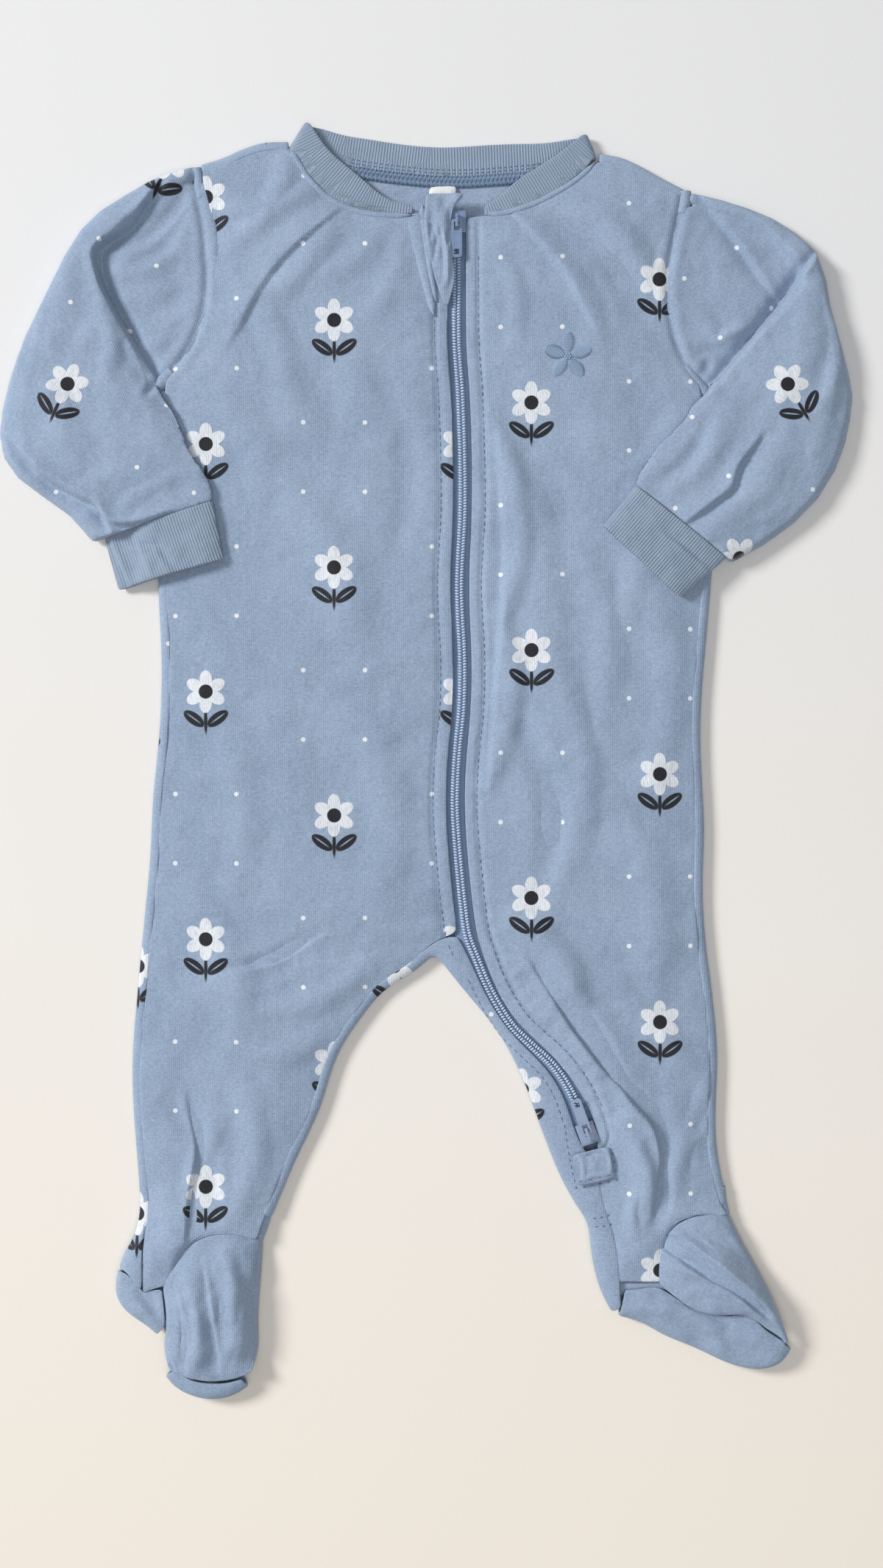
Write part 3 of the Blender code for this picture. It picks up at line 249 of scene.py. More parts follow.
class Finish:
    """A material and the nodes that it is made of."""

    def __init__(self, name, roughness):
        self.material = bpy.data.materials.new(name)
        self.material.use_nodes = True
        self.tree = self.material.node_tree
        self.shader = self.tree.nodes["Principled BSDF"]
        self.shader.inputs["Roughness"].default_value = roughness

    def add(self, kind, settings=None, inputs=None, output=0):
        node = self.tree.nodes.new(kind)
        for key, value in (settings or {}).items():
            setattr(node, key, value)
        for key, value in (inputs or {}).items():
            self.feed(node.inputs[key], value)
        return Value(self, node.outputs[output])

    def feed(self, socket, value):
        if isinstance(value, Value):
            self.tree.links.new(value.socket, socket)
        else:
            socket.default_value = value

    def place(self, turn=0.0, move=(0.0, 0.0)):
        """x and y of the surface in millimetres, turned and then moved."""
        coords = self.add("ShaderNodeTexCoord", output="Object")
        mapped = self.add(
            "ShaderNodeMapping", {},
            {"Vector": coords, "Rotation": (0, 0, turn), "Scale": (1000,) * 3, "Location": (*move, 0)},
        )
        split = self.tree.nodes.new("ShaderNodeSeparateXYZ")
        self.tree.links.new(mapped.socket, split.inputs[0])
        return mapped, Value(self, split.outputs[0]), Value(self, split.outputs[1])

    def grain(self, vector, size, detail=2.0, stretch=(1, 1, 1)):
        scale = tuple(1 / size / s for s in stretch)
        scaled = self.add("ShaderNodeMapping", {}, {"Vector": vector, "Scale": scale})
        return self.add("ShaderNodeTexNoise", {}, {"Vector": scaled, "Scale": 1.0, "Detail": detail})

    def mix(self, factor, first, second):
        node = self.tree.nodes.new("ShaderNodeMix")
        node.data_type = "RGBA"
        self.feed(node.inputs["Factor"], factor)
        for key, value in ((6, first), (7, second)):
            self.feed(node.inputs[key], value if isinstance(value, Value) else (*value, 1))
        return Value(self, node.outputs[2])

    def bump(self, height, distance, strength, under=None):
        inputs = {"Height": height, "Distance": distance * MM, "Strength": strength}
        if under:
            inputs["Normal"] = under
        return self.add("ShaderNodeBump", {}, inputs)

    def colour(self, value):
        self.feed(self.shader.inputs["Base Color"], value)

    def surface(self, value):
        self.feed(self.shader.inputs["Normal"], value)


def oval(x, y, centre, size, turn=0.0, blur=0.3):
    """1 inside an oval of half-sizes size, 0 outside it."""
    across = x - centre[0]
    up = y - centre[1]
    p = (across * cos(turn) + up * sin(turn)) / size[0]
    q = (up * cos(turn) - across * sin(turn)) / size[1]
    inside = 1 - (p * p + q * q)
    return (inside * (min(size) / 2 / blur) + 0.5).math("MULTIPLY", 1.0, use_clamp=True)


BLUE_LIGHT = (0.385, 0.48, 0.63)
BLUE_DARK = (0.19, 0.26, 0.375)
# RIB_DARK is partly painted shade: the rib wave mixes it into the furrows between ribs
RIB_LIGHT = (0.345, 0.43, 0.55)
RIB_DARK = (0.19, 0.255, 0.35)
INK_BLACK = (0.012, 0.014, 0.02)
INK_WHITE = (0.74, 0.77, 0.82)
CELL = (56.0, 108.0)
PETAL = (2.7, 3.9)
PETAL_TURN = 0.52
LEAF_TURN = 0.62


def print_masks(x, y):
    """Petals, dark parts and dots of a plain print of daisies and pin dots, in a half-drop repeat."""
    wide, tall = CELL
    column = (x / wide).math("FLOOR")
    odd = (column * 0.5).math("FRACT") * 2
    drop = y / tall + odd * 0.5
    u = x - (column + 0.5) * wide
    v = (drop - drop.math("FLOOR") - 0.5) * tall
    pair = u.math("ABSOLUTE")
    petals = oval(u, v, (0, 11.2), PETAL)
    petals = petals.greatest(oval(u, v, (0, 0.4), PETAL))
    petals = petals.greatest(oval(pair, v, (4.7, 8.5), PETAL[::-1], PETAL_TURN))
    petals = petals.greatest(oval(pair, v, (4.7, 3.1), PETAL[::-1], -PETAL_TURN))
    heart = oval(u, v, (0, 5.8), (3.1, 3.1))
    stem = oval(u, v, (0, -7.0), (0.8, 5.6)) * (1 - petals)
    leaves = oval(pair, v, (5.2, -6.0), (5.4, 2.5), LEAF_TURN)
    vein = oval(pair, v, (5.4, -5.8), (3.4, 0.3), LEAF_TURN, 0.2)
    black = heart.greatest(stem).greatest(leaves * (1 - vein))
    across = (v.math("ABSOLUTE") - tall * 0.36).math("ABSOLUTE")
    dot = oval(pair, across, (wide * 0.24, 0), (1.0, 1.0), 0, 0.25)
    return petals, black, dot


def brushed_knit(name, daisy=None, turn=0.0):
    """Heathered interlock: pale and dark flecks that run across the piece, fine wales and a brushed nap.

    A printed cloth has one daisy of its print at the place daisy, and the rest follow from it.
    """
    finish = Finish(name, 0.92)
    move = (0.0, 0.0)
    if daisy:
        u, v = daisy[0] - ORIGIN_X, daisy[1] - ORIGIN_Y
        move = (CELL[0] / 2 - u * cos(turn) + v * sin(turn), CELL[1] / 2 - u * sin(turn) - v * cos(turn))
    vector, x, y = finish.place(turn, move)
    flecks = finish.grain(vector, 0.8, 3.0, (1.7, 1, 1))
    specks = finish.grain(vector, 0.5, 2.0)
    clouds = finish.grain(vector, 16.0, 3.0, (1.6, 1, 1))
    wear = finish.grain(vector, 55.0, 2.0)
    heather = flecks * 1.05 + specks * 0.5 + clouds * 0.4 + wear * 0.3 - 0.66
    colour = finish.mix(heather.clamped(), BLUE_DARK, BLUE_LIGHT)
    wales = (x * (2 * pi / 0.85)).math("SINE")
    courses = (y * (2 * pi / 1.1)).math("SINE")
    nap = finish.grain(vector, 0.7, 4.0)
    height = wales * 0.25 + courses * 0.12 + nap * 1.2
    if daisy:
        upward = finish.add("ShaderNodeAttribute", {"attribute_name": "upward"}, output="Fac")
        laid_flat = (upward * 4 - 0.8).clamped()
        white, black, dot = (mask * laid_flat for mask in print_masks(x, y))
        crackle = finish.grain(vector, 1.0, 3.0, (0.35, 2.4, 1))
        ink = finish.mix((crackle * 3 - 1.25).clamped(), INK_WHITE, (0.5, 0.55, 0.62))
        colour = finish.mix(white, colour, ink)
        colour = finish.mix(black, colour, INK_BLACK)
        colour = finish.mix(dot, colour, INK_WHITE)
        inked = white.greatest(black)
        finish.feed(finish.shader.inputs["Roughness"], 0.92 - inked * 0.4)
        height = height + inked * 1.4
    uneven = finish.grain(vector, 9.0, 2.0)
    finish.colour(colour)
    soft = finish.bump(uneven, 1.1, 0.6)
    fine = finish.bump(height, 0.12, 0.7, soft)
    finish.surface(fine)
    finish.shader.inputs["Sheen Weight"].default_value = 0.25
    finish.shader.inputs["Sheen Roughness"].default_value = 0.5
    finish.shader.inputs["Specular IOR Level"].default_value = 0.2
    return finish.material


def ribbed_knit(name, along=None, turn=0.0):
    """Rib: ridges a little over a millimetre apart, that lie across the band."""
    finish = Finish(name, 0.92)
    vector, x, _ = finish.place(turn)
    run = finish.add("ShaderNodeAttribute", {"attribute_name": along}, output="Fac") if along else x
    rib = (run * (2 * pi / 1.25)).math("SINE") * 0.5 + 0.5
    flecks = finish.grain(vector, 0.9, 3.0)
    clouds = finish.grain(vector, 12.0, 2.0)
    # The rib term paints the furrows between ribs darker and the ridges lighter, as painted shade; the flecks
    # and clouds are the yarn's own random tone
    tone = rib * 0.38 + flecks * 0.5 + clouds * 0.4 - 0.2
    finish.colour(finish.mix(tone.clamped(), RIB_DARK, RIB_LIGHT))
    nap = finish.grain(vector, 0.6, 3.0)
    finish.surface(finish.bump(rib + nap * 0.5, 0.3, 0.8))
    finish.shader.inputs["Sheen Weight"].default_value = 0.2
    finish.shader.inputs["Specular IOR Level"].default_value = 0.2
    return finish.material


def woven_tape(name):
    finish = Finish(name, 0.7)
    vector, x, y = finish.place()
    weave = (x * (2 * pi / 0.9)).math("SINE") * (y * (2 * pi / 0.7)).math("SINE")
    fleck = finish.grain(vector, 0.8, 3.0)
    # The weave term paints the crossings of the yarns lighter and darker, as painted shade; the flecks are
    # the tape's own random tone
    tone = (weave * 0.2 + fleck).clamped()
    finish.colour(finish.mix(tone, (0.15, 0.235, 0.39), (0.26, 0.375, 0.57)))
    finish.surface(finish.bump(weave, 0.15, 0.8))
    return finish.material


def coil_plastic(name):
    finish = Finish(name, 0.38)
    vector, _, _ = finish.place()
    fleck = finish.grain(vector, 2.5, 2.0)
    finish.colour(finish.mix(fleck, (0.4, 0.51, 0.7), (0.6, 0.71, 0.86)))
    finish.feed(finish.shader.inputs["Roughness"], fleck * 0.2 + 0.3)
    return finish.material


def slider_enamel(name):
    finish = Finish(name, 0.3)
    vector, _, _ = finish.place()
    cloud = finish.grain(vector, 3.0, 3.0)
    worn = (finish.grain(vector, 1.2, 4.0) * 6 - 3.9).clamped()
    colour = finish.mix(cloud, (0.15, 0.22, 0.37), (0.22, 0.3, 0.47))
    finish.colour(finish.mix(worn, colour, (0.36, 0.4, 0.47)))
    finish.feed(finish.shader.inputs["Roughness"], cloud * 0.25 + 0.2)
    finish.surface(finish.bump(cloud, 0.12, 0.5))
    finish.shader.inputs["Coat Weight"].default_value = 0.4
    return finish.material


def thread(name, colour):
    finish = Finish(name, 0.75)
    vector, _, _ = finish.place()
    twist = finish.grain(vector, 0.5, 2.0)
    pale = tuple(min(1.0, c * 1.35) for c in colour)
    finish.colour(finish.mix(twist, colour, pale))
    finish.surface(finish.bump(twist, 0.1, 0.6))
    return finish.material


def satin(name):
    finish = Finish(name, 0.45)
    vector, x, _ = finish.place()
    weave = (x * (2 * pi / 0.4)).math("SINE")
    cloud = finish.grain(vector, 3.0, 2.0)
    finish.colour(finish.mix(cloud, (0.72, 0.74, 0.78), (0.88, 0.88, 0.88)))
    finish.surface(finish.bump(weave * 0.3 + cloud, 0.2, 0.5))
    return finish.material


# Cloth
def relief(points, folds):
    """Height of a set of folds at points, in millimetres; crossing folds don't pile up."""
    crest = np.zeros(len(points))
    hollow = np.zeros(len(points))
    for fold in folds:
        start = np.array([fold.from_x, fold.from_y])
        run = np.array([fold.to_x, fold.to_y]) - start
        away = points - start
        t = np.clip(away @ run / (run @ run), 0, 1)
        bend = 0.12 * np.linalg.norm(run) * 4 * t * (1 - t)
        side = np.array([-run[1], run[0]]) / np.linalg.norm(run)
        distance = np.linalg.norm(away - t[:, None] * run - bend[:, None] * side, axis=1)
        shape = np.where(distance < fold.width, np.cos(pi * np.minimum(distance / fold.width, 1) / 2) ** 2, 0)
        height = fold.height * shape * np.sin(pi * np.clip(t * 0.8 + 0.1, 0, 1)) ** 0.7
        crest = np.maximum(crest, height)
        hollow = np.minimum(hollow, height)
    return crest + hollow


def bead(across=8, around=5):
    """Points and faces of a unit ball, as a template for threads and teeth."""
    points = [(0, 0, 1)]
    for i in range(1, around):
        high, wide = cos(pi * i / around), sin(pi * i / around)
        turns = [2 * pi * j / across for j in range(across)]
        points += [(wide * cos(turn), wide * sin(turn), high) for turn in turns]
    points.append((0, 0, -1))
    last = len(points) - 1
    faces = [(0, 1 + j, 1 + (j + 1) % across) for j in range(across)]
    for i in range(around - 2):
        row = 1 + i * across
        for j in range(across):
            k = (j + 1) % across
            faces.append((row + j, row + across + j, row + across + k, row + k))
    row = last - across
    faces += [(row + j, last, row + (j + 1) % across) for j in range(across)]
    return np.array(points, dtype=float), faces


def scatter(name, places, template):
    """One mesh of the template's shape at each of the places, which are 4 x 4 matrices."""
    points, faces = template
    full = np.hstack([points, np.ones((len(points), 1))])
    every = np.vstack([(full @ np.array(place).T)[:, :3] for place in places])
    mesh = bpy.data.meshes.new(name)
    step = len(points)
    copies = [tuple(v + k * step for v in face) for k in range(len(places)) for face in faces]
    mesh.from_pydata(every.tolist(), [], copies)
    return add_piece(name, mesh)


def nearest_on(points, places):
    """For each point, the number of the nearest of the places, its distance and the way to it."""
    gap = points[:, None, :2] - places[None, :, :2]
    nearest = (gap**2).sum(axis=2).argmin(axis=1)
    off = gap[np.arange(len(points)), nearest]
    return nearest, np.linalg.norm(off, axis=1), off


def ledges(points, rows):
    """Height of the folded layers' edges at points: up on one side of each line and down on the other."""
    total = np.zeros(len(points))
    for ledge in rows:
        places, ways, _ = line_points([(x, y, 0) for x, y in ledge.line], LINE_POINTS)
        nearest, away, off = nearest_on(points, places)
        way = ways[nearest]
        side = off[:, 1] * way[:, 0] - off[:, 0] * way[:, 1]
        fade = np.sin(pi * np.clip(nearest / (LINE_POINTS - 1) * 0.86 + 0.07, 0, 1)) ** 0.5
        height = np.where(side > 0, ledge.left, ledge.right)
        total += height * np.clip(np.abs(side) / 0.8, 0, 1) * np.exp(-((away / ledge.reach) ** 2)) * fade
    return total


def furrow(points, lines):
    """A seam's groove along lines, with the cloth a little raised beside it."""
    total = np.zeros(len(points))
    for line in lines:
        places, _, _ = line_points([(x, y, 0) for x, y in line], LINE_POINTS)
        _, away, _ = nearest_on(points, places)
        total += 0.4 * np.exp(-(((away - 3.5) / 2.0) ** 2)) - 0.9 * np.exp(-((away / 1.3) ** 2))
    return total


def line_points(line, count):
    """Evenly spaced points and their directions along a smooth line."""
    rows = np.array(line, dtype=float)
    at_row = np.concatenate([[0], np.cumsum(np.linalg.norm(np.diff(rows[:, :2], axis=0), axis=1))])
    slope = np.gradient(rows, at_row, axis=0)
    wanted = np.linspace(0, at_row[-1], count)
    k = np.clip(np.searchsorted(at_row, wanted, side="right") - 1, 0, len(at_row) - 2)
    span = (at_row[k + 1] - at_row[k])[:, None]
    t = (wanted - at_row[k])[:, None] / span
    places = rows[k] * (2 * t**3 - 3 * t**2 + 1) + slope[k] * span * (t**3 - 2 * t**2 + t)
    places += rows[k + 1] * (3 * t**2 - 2 * t**3) + slope[k + 1] * span * (t**3 - t**2)
    ways = np.gradient(places[:, :2], axis=0)
    ways /= np.linalg.norm(ways, axis=1)[:, None]
    return places, ways, at_row[-1]


def solid_copy(name, node, change=None):
    """A piece of its own with the shape of a solid, its points welded and then changed."""
    mesh = nodes[node].data.copy()
    mesh.name = name
    mesh.materials.clear()
    work = bmesh.new()
    work.from_mesh(mesh)
    bmesh.ops.remove_doubles(work, verts=work.verts, dist=WELD)
    if change:
        change(work)
    work.to_mesh(mesh)
    work.free()
    return add_piece(name, mesh)


def join_and_crease(work):
    """Joins triangles into larger faces, and keeps the rims of the cloth from melting away."""
    bmesh.ops.join_triangles(
        work, faces=work.faces, angle_face_threshold=radians(25), angle_shape_threshold=radians(60),
    )
    sharp = work.edges.layers.float.get("crease_edge") or work.edges.layers.float.new("crease_edge")
    for edge in work.edges:
        if len(edge.link_faces) == 2 and edge.calc_face_angle(0) > radians(50):
            edge[sharp] = CREASE


def soft_copy(name, node, levels):
    """The shape of a solid of cloth, rounded off by subdivision."""
    piece = solid_copy(name, node, join_and_crease)
    round_off = piece.modifiers.new("round", "SUBSURF")
    round_off.levels = round_off.render_levels = levels
    apply(piece, round_off)
    spread(piece, FILL_OUT)
    return piece


def eased_sleeve(name, node):
    """The shape of a folded sleeve with its layers grown into one soft skin."""
    piece = solid_copy(name, node)
    skin = piece.modifiers.new("skin", "REMESH")
    skin.mode = "VOXEL"
    skin.voxel_size = SLEEVE_GRAIN * MM
    apply(piece, skin)
    ease = piece.modifiers.new("ease", "SMOOTH")
    ease.factor = 0.5
    ease.iterations = SLEEVE_EASING
    apply(piece, ease)
    spread(piece, 0.4)
    return piece


def shift_up(piece, lift):
    """Moves the upper skin of a piece by lift(points in millimetres), fading out down its sides."""
    co = read_points(piece.data)
    facing = np.clip(read_points(piece.data, "normal")[:, 2] * 1.6, 0, 1)
    raised = co[:, 2] + lift(in_table(co)) * facing * MM
    lowest = np.minimum(co[:, 2], THINNEST * MM)
    co[:, 2] = np.where(facing > 0, np.maximum(raised, lowest), co[:, 2])
    write_points(piece.data, co)


def spread(piece, amount):
    """Fills out the sides of a piece, so that pieces that are sewn together meet."""
    co = read_points(piece.data)
    co[:, :2] += read_points(piece.data, "normal")[:, :2] * amount * MM
    write_points(piece.data, co)


def reach_in(piece, line, way):
    """Draws the lower layer of a sleeve towards the armhole seam that it is sewn to."""
    places, ways, _ = line_points([(x, y, 0) for x, y in line], 60)
    co = read_points(piece.data)
    nearest, away, _ = nearest_on(in_table(co), places)
    normal = np.stack([-ways[nearest][:, 1], ways[nearest][:, 0]], axis=1) * way
    low = co[:, 2] < LOWER_LAYER * MM
    pull = SEAM_REACH * np.exp(-((away / 9.0) ** 2)) * low
    co[:, :2] += normal * pull[:, None] * MM
    write_points(piece.data, co)


def mark_upward(piece):
    """Stores how squarely each point of a cloth faces up, so that the print can fade out down its sides."""
    layer = piece.data.attributes.new("upward", "FLOAT", "POINT")
    layer.data.foreach_set("value", read_points(piece.data, "normal")[:, 2].copy())


def rumple(points, size, height, seed):
    return np.array([noise.noise(Vector((p[0] / size + seed, p[1] / size, seed))) for p in points]) * height


def finish_piece(piece, material, node=None, body="garment"):
    piece.data.materials.clear()
    piece.data.materials.append(material)
    piece.data.polygons.foreach_set("material_index", [0] * len(piece.data.polygons))
    piece.data.polygons.foreach_set("use_smooth", [True] * len(piece.data.polygons))
    piece.data.update()
    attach(piece, body)
    if node:
        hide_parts(node)
    return piece


ZIP_PLACES, _, ZIP_LENGTH = line_points(ZIP_LINE, 200)


def zip_distance(points):
    """Distance from the zip's middle line, and how far along it, in millimetres."""
    nearest, away, _ = nearest_on(points, ZIP_PLACES)
    return away, nearest * ZIP_LENGTH / (len(ZIP_PLACES) - 1)


def front_lift(points):
    away, along = zip_distance(points)
    wave = np.sin(along * 2 * pi / 7.3 + np.sin(along / 9.0) * 1.5)
    pucker = wave * 0.2 * np.exp(-(((away - 12) / 6) ** 2))
    groove = -1.1 * np.exp(-(((away - 9.6) / 0.9) ** 2)) * (points[:, 1] < 236)
    folds = relief(points[:, :2], FRONT_FOLDS) * 1.9 + ledges(points[:, :2], FRONT_LEDGES) * 1.2
    seam = furrow(points[:, :2], [RIGHT_ARMHOLE, LEFT_ARMHOLE])
    return folds + seam + rumple(points, 22, 0.9, 3.1) + rumple(points, 6, 0.22, 8.4) + pucker + groove


def sleeve_lift(points):
    folds = relief(points[:, :2], SLEEVE_FOLDS) * 1.3 + ledges(points[:, :2], SLEEVE_LEDGES) * 1.7
    seam = furrow(points[:, :2], [RIGHT_ARMHOLE, LEFT_ARMHOLE])
    return folds + seam + rumple(points, 15, 0.7, 5.2) + rumple(points, 6, 0.25, 1.9)


def cuff_lift(points):
    return ledges(points[:, :2], CUFF_LEDGES) + rumple(points, 8, 0.5, 7.7) + rumple(points, 3, 0.2, 7.7)


def foot_lift(points):
    folds = relief(points[:, :2], FOOT_FOLDS) * 1.4 + ledges(points[:, :2], FOOT_LEDGES)
    return folds + rumple(points, 9, 0.7, 2.2) + rumple(points, 4, 0.2, 6.1)


def sole_lift(points):
    return relief(points[:, :2], SOLE_FOLDS) * 1.4 + rumple(points, 8, 0.6, 4.4)


def guard_lift(points):
    folds = relief(points[:, :2], GUARD_FOLDS) * 1.5 + ledges(points[:, :2], GUARD_LEDGES)
    return folds + rumple(points, 6, 0.5, 1.3)


def patch_lift(points):
    return relief(points[:, :2], PATCH_FOLDS) + rumple(points, 5, 0.3, 1.3)


def soft_piece(node, ending, levels, lift, material):
    """A soft copy of a solid with its folds, dressed and put in the solid's place."""
    piece = soft_copy(node + ending, node, levels)
    if lift:
        shift_up(piece, lift)
    return finish_piece(piece, material, node)


def make_body():
    made = {}
    for node, levels, lift, daisy in (
        ("front_right", CLOTH_LEVELS, front_lift, (-40, 186)),
        ("front_left", CLOTH_LEVELS, front_lift, (46, 150)),
        ("back", BACK_LEVELS, None, (-70, 66)),
    ):
        made[node] = soft_piece(node, "_cloth", levels, lift, brushed_knit("knit_" + node, daisy))
        mark_upward(made[node])
    return made


def make_sleeve(side, armhole, way, lean, daisy):
    """A sleeve: lean is how far its print is turned, and way is the side of the armhole that it is on."""
    node = "sleeve_" + side
    piece = eased_sleeve(node + "_cloth", node)
    reach_in(piece, armhole, way)
    shift_up(piece, sleeve_lift)
    mark_upward(piece)
    return finish_piece(piece, brushed_knit("knit_" + node, daisy, radians(lean)), node)


def make_cloth():
    made = make_body()
    for side, armhole, way, sleeve_lean, cuff_lean, foot_lean, daisy in (
        ("right", RIGHT_ARMHOLE, 1, 24, -19, 0, (-158, 158)),
        ("left", LEFT_ARMHOLE, -1, -31, 41, 30, (160, 158)),
    ):
        made["sleeve_" + side] = make_sleeve(side, armhole, way, sleeve_lean, daisy)
        rib = ribbed_knit("rib_cuff_" + side, turn=radians(cuff_lean))
        made["cuff_" + side] = soft_piece("cuff_" + side, "_rib", CLOTH_LEVELS, cuff_lift, rib)
        plain = brushed_knit("knit_foot_" + side, turn=radians(foot_lean))
        for part, lift in (("foot_upper_", foot_lift), ("foot_sole_", sole_lift)):
            made[part + side] = soft_piece(part + side, "_cloth", CLOTH_LEVELS, lift, plain)

    piece = soft_copy("neckband_rib", "neckband", CLOTH_LEVELS)
    mark_along(piece, NECK_RUN)
    made["neckband"] = finish_piece(piece, ribbed_knit("rib_neckband", along="along"), "neckband")
    trim = brushed_knit("knit_trim")
    made["zip_guard"] = soft_piece("zip_guard", "_cloth", CLOTH_LEVELS, guard_lift, trim)
    made["zip_patch"] = soft_piece("zip_patch", "_cloth", PATCH_LEVELS, patch_lift, trim)
    made["neck_label"] = soft_piece("neck_label", "_ribbon", 2, None, satin("satin_label"))
    return made


# The line that the neckband follows: front right, back, front left
NECK_RUN = [
    (-6, 240.3), (-16, 241.5), (-26, 244.6), (-36, 250.6), (-45, 258.5), (-50.5, 265), (-54, 272),
    (-47.5, 271), (-36, 267.4), (-19.5, 264.9), (1.5, 262.3), (26, 263.1), (50, 264.1), (61.5, 265.8),
    (70, 267.5), (66, 263.2), (59.5, 258.3), (43, 248), (30, 241.2), (26, 240),
]
# The steps of that line that lie at the back, under the others
FIRST_BACK_STEP = 6
LAST_BACK_STEP = 13
GUARD_FOLDS = [
    Fold(4, 244, 3, 226, 2.4, 0.8), Fold(8.6, 244, 8, 222, 2.2, -0.7), Fold(5, 232, 8, 206, 2.6, 0.7),
    Fold(13, 245, 15, 242, 3.0, 0.9), Fold(1.5, 236, 2.5, 216, 1.6, -0.5),
]
GUARD_LEDGES = [
    Ledge([(11, 246), (7, 238), (8, 224), (8.8, 210)], 0.8, -0.9, 2.2),
    Ledge([(2, 246), (1.2, 236), (2.4, 222)], -0.6, 0.6, 1.8),
]
PATCH_FOLDS = [
    Fold(66, -171, 68, -184, 1.6, 0.8), Fold(78, -169, 80, -181, 1.6, 0.8),
    Fold(67, -184, 80, -181, 1.6, 0.7), Fold(70, -173, 76, -172, 2.0, -0.8),
    Fold(72, -174, 73.5, -181, 2.4, 0.5),
]


def mark_along(piece, run):
    """Stores how far along its run each point of a band lies, for the ribs."""
    rows = np.array(run, dtype=float)
    lengths = np.linalg.norm(np.diff(rows, axis=0), axis=1)
    before = np.concatenate([[0], np.cumsum(lengths)])
    co = in_table(read_points(piece.data))
    high = co[:, 2] > 3.1
    co = co[:, :2]
    best = np.full(len(co), 1e9)
    along = np.zeros(len(co))
    for k, (start, end) in enumerate(zip(rows[:-1], rows[1:])):
        lower = FIRST_BACK_STEP <= k <= LAST_BACK_STEP
        step = end - start
        t = np.clip((co - start) @ step / (step @ step), -0.2, 1.2)
        gap = np.linalg.norm(co - start - t[:, None] * step, axis=1) + np.where(high == lower, 20.0, 0.0)
        closer = gap < best
        best = np.where(closer, gap, best)
        along = np.where(closer, before[k] + t * lengths[k], along)
    layer = piece.data.attributes.new("along", "FLOAT", "POINT")
    layer.data.foreach_set("value", along)


# The zip
def strip(name, rows, closed=False):
    """A mesh through rows of points in millimetres."""
    width = len(rows[0])
    points = [at(*p) for row in rows for p in row]
    faces = []
    for i in range(len(rows) - 1):
        for j in range(width if closed else width - 1):
            k = (j + 1) % width
            faces.append((i * width + j, i * width + k, (i + 1) * width + k, (i + 1) * width + j))
    if closed:
        faces.append(tuple(range(width))[::-1])
        faces.append(tuple((len(rows) - 1) * width + j for j in range(width)))
    mesh = bpy.data.meshes.new(name)
    mesh.from_pydata(points, [], faces)
    work = bmesh.new()
    work.from_mesh(mesh)
    bmesh.ops.recalc_face_normals(work, faces=work.faces)
    work.to_mesh(mesh)
    work.free()
    return add_piece(name, mesh)


def make_zip():
    """The woven tapes with their coil of teeth, the sliders and the pulls."""
    places, ways, length = line_points(ZIP_LINE, 220)
    normal = np.stack([-ways[:, 1], ways[:, 0]], axis=1)
    rows = []
    for (x, y, opening), n in zip(places, normal):
        half = opening + TAPE_SPARE - 0.1
        section = [
            (-half, 2.65), (-half, 3.45), (-2.2, 3.6), (-1.2, 3.75), (0, 3.5),
            (1.2, 3.75), (2.2, 3.6), (half, 3.45), (half, 2.65),
        ]
        rows.append([(x + n[0] * w, y + n[1] * w, z) for w, z in section])
    finish_piece(strip("zip_tape", rows, closed=True), woven_tape("tape_weave"), "zip_chain")

    teeth = []
    places, ways, _ = line_points(ZIP_LINE, int(length / TOOTH_PITCH))
    for (x, y, _), way in zip(places[2:-3], ways[2:-3]):
        angle = atan2(way[1], way[0])
        for side in (-1, 1):
            middle = at(x, y, 4.15)
            shift = Vector((-way[1] * side * 1.02, way[0] * side * 1.02, 0)) * MM
            along = Vector((way[0], way[1], 0)) * (side * TOOTH_PITCH * 0.25) * MM
            turn = Matrix.Rotation(angle + side * 0.22, 4, "Z")
            size = Matrix.Diagonal((0.52 * MM, 1.04 * MM, 1.0 * MM, 1))
            teeth.append(Matrix.Translation(middle + shift + along) @ turn @ size)
    finish_piece(scatter("zip_coil", teeth, bead(8, 6)), coil_plastic("coil_plastic"))
    enamel = slider_enamel("slider_enamel")
    for end in ("top", "bottom"):
        for kind, body in (("slider_", "garment"), ("pull_", "pull_" + end)):
            piece = soft_metal(kind + end + "_metal", kind + end, 0.28 if kind == "pull_" else 0.45)
            finish_piece(piece, enamel, kind + end, body)


def flatten_faces(work):
    bmesh.ops.dissolve_limit(work, angle_limit=radians(1), verts=work.verts, edges=work.edges)


def soft_metal(name, node, radius):
    """The shape of a metal solid with its edges rounded."""
    piece = solid_copy(name, node, flatten_faces)
    edges = piece.modifiers.new("edges", "BEVEL")
    edges.width = radius * MM
    edges.segments = 3
    edges.limit_method = "ANGLE"
    edges.angle_limit = radians(35)
    edges.use_clamp_overlap = True
    apply(piece, edges)
    return piece


# Stitches
def surface_height(pieces):
    """A function that gives the height of the topmost piece at a place, in millimetres."""
    trees = []
    for piece in pieces:
        work = bmesh.new()
        work.from_mesh(piece.data)
        trees.append(BVHTree.FromBMesh(work))
        work.free()

    def height(x, y):
        start = at(x, y, 60)
        found = [tree.ray_cast(start, Vector((0, 0, -1)))[0] for tree in trees]
        found = [hit.z / MM for hit in found if hit is not None]
        return max(found) if found else 0.0

    return height


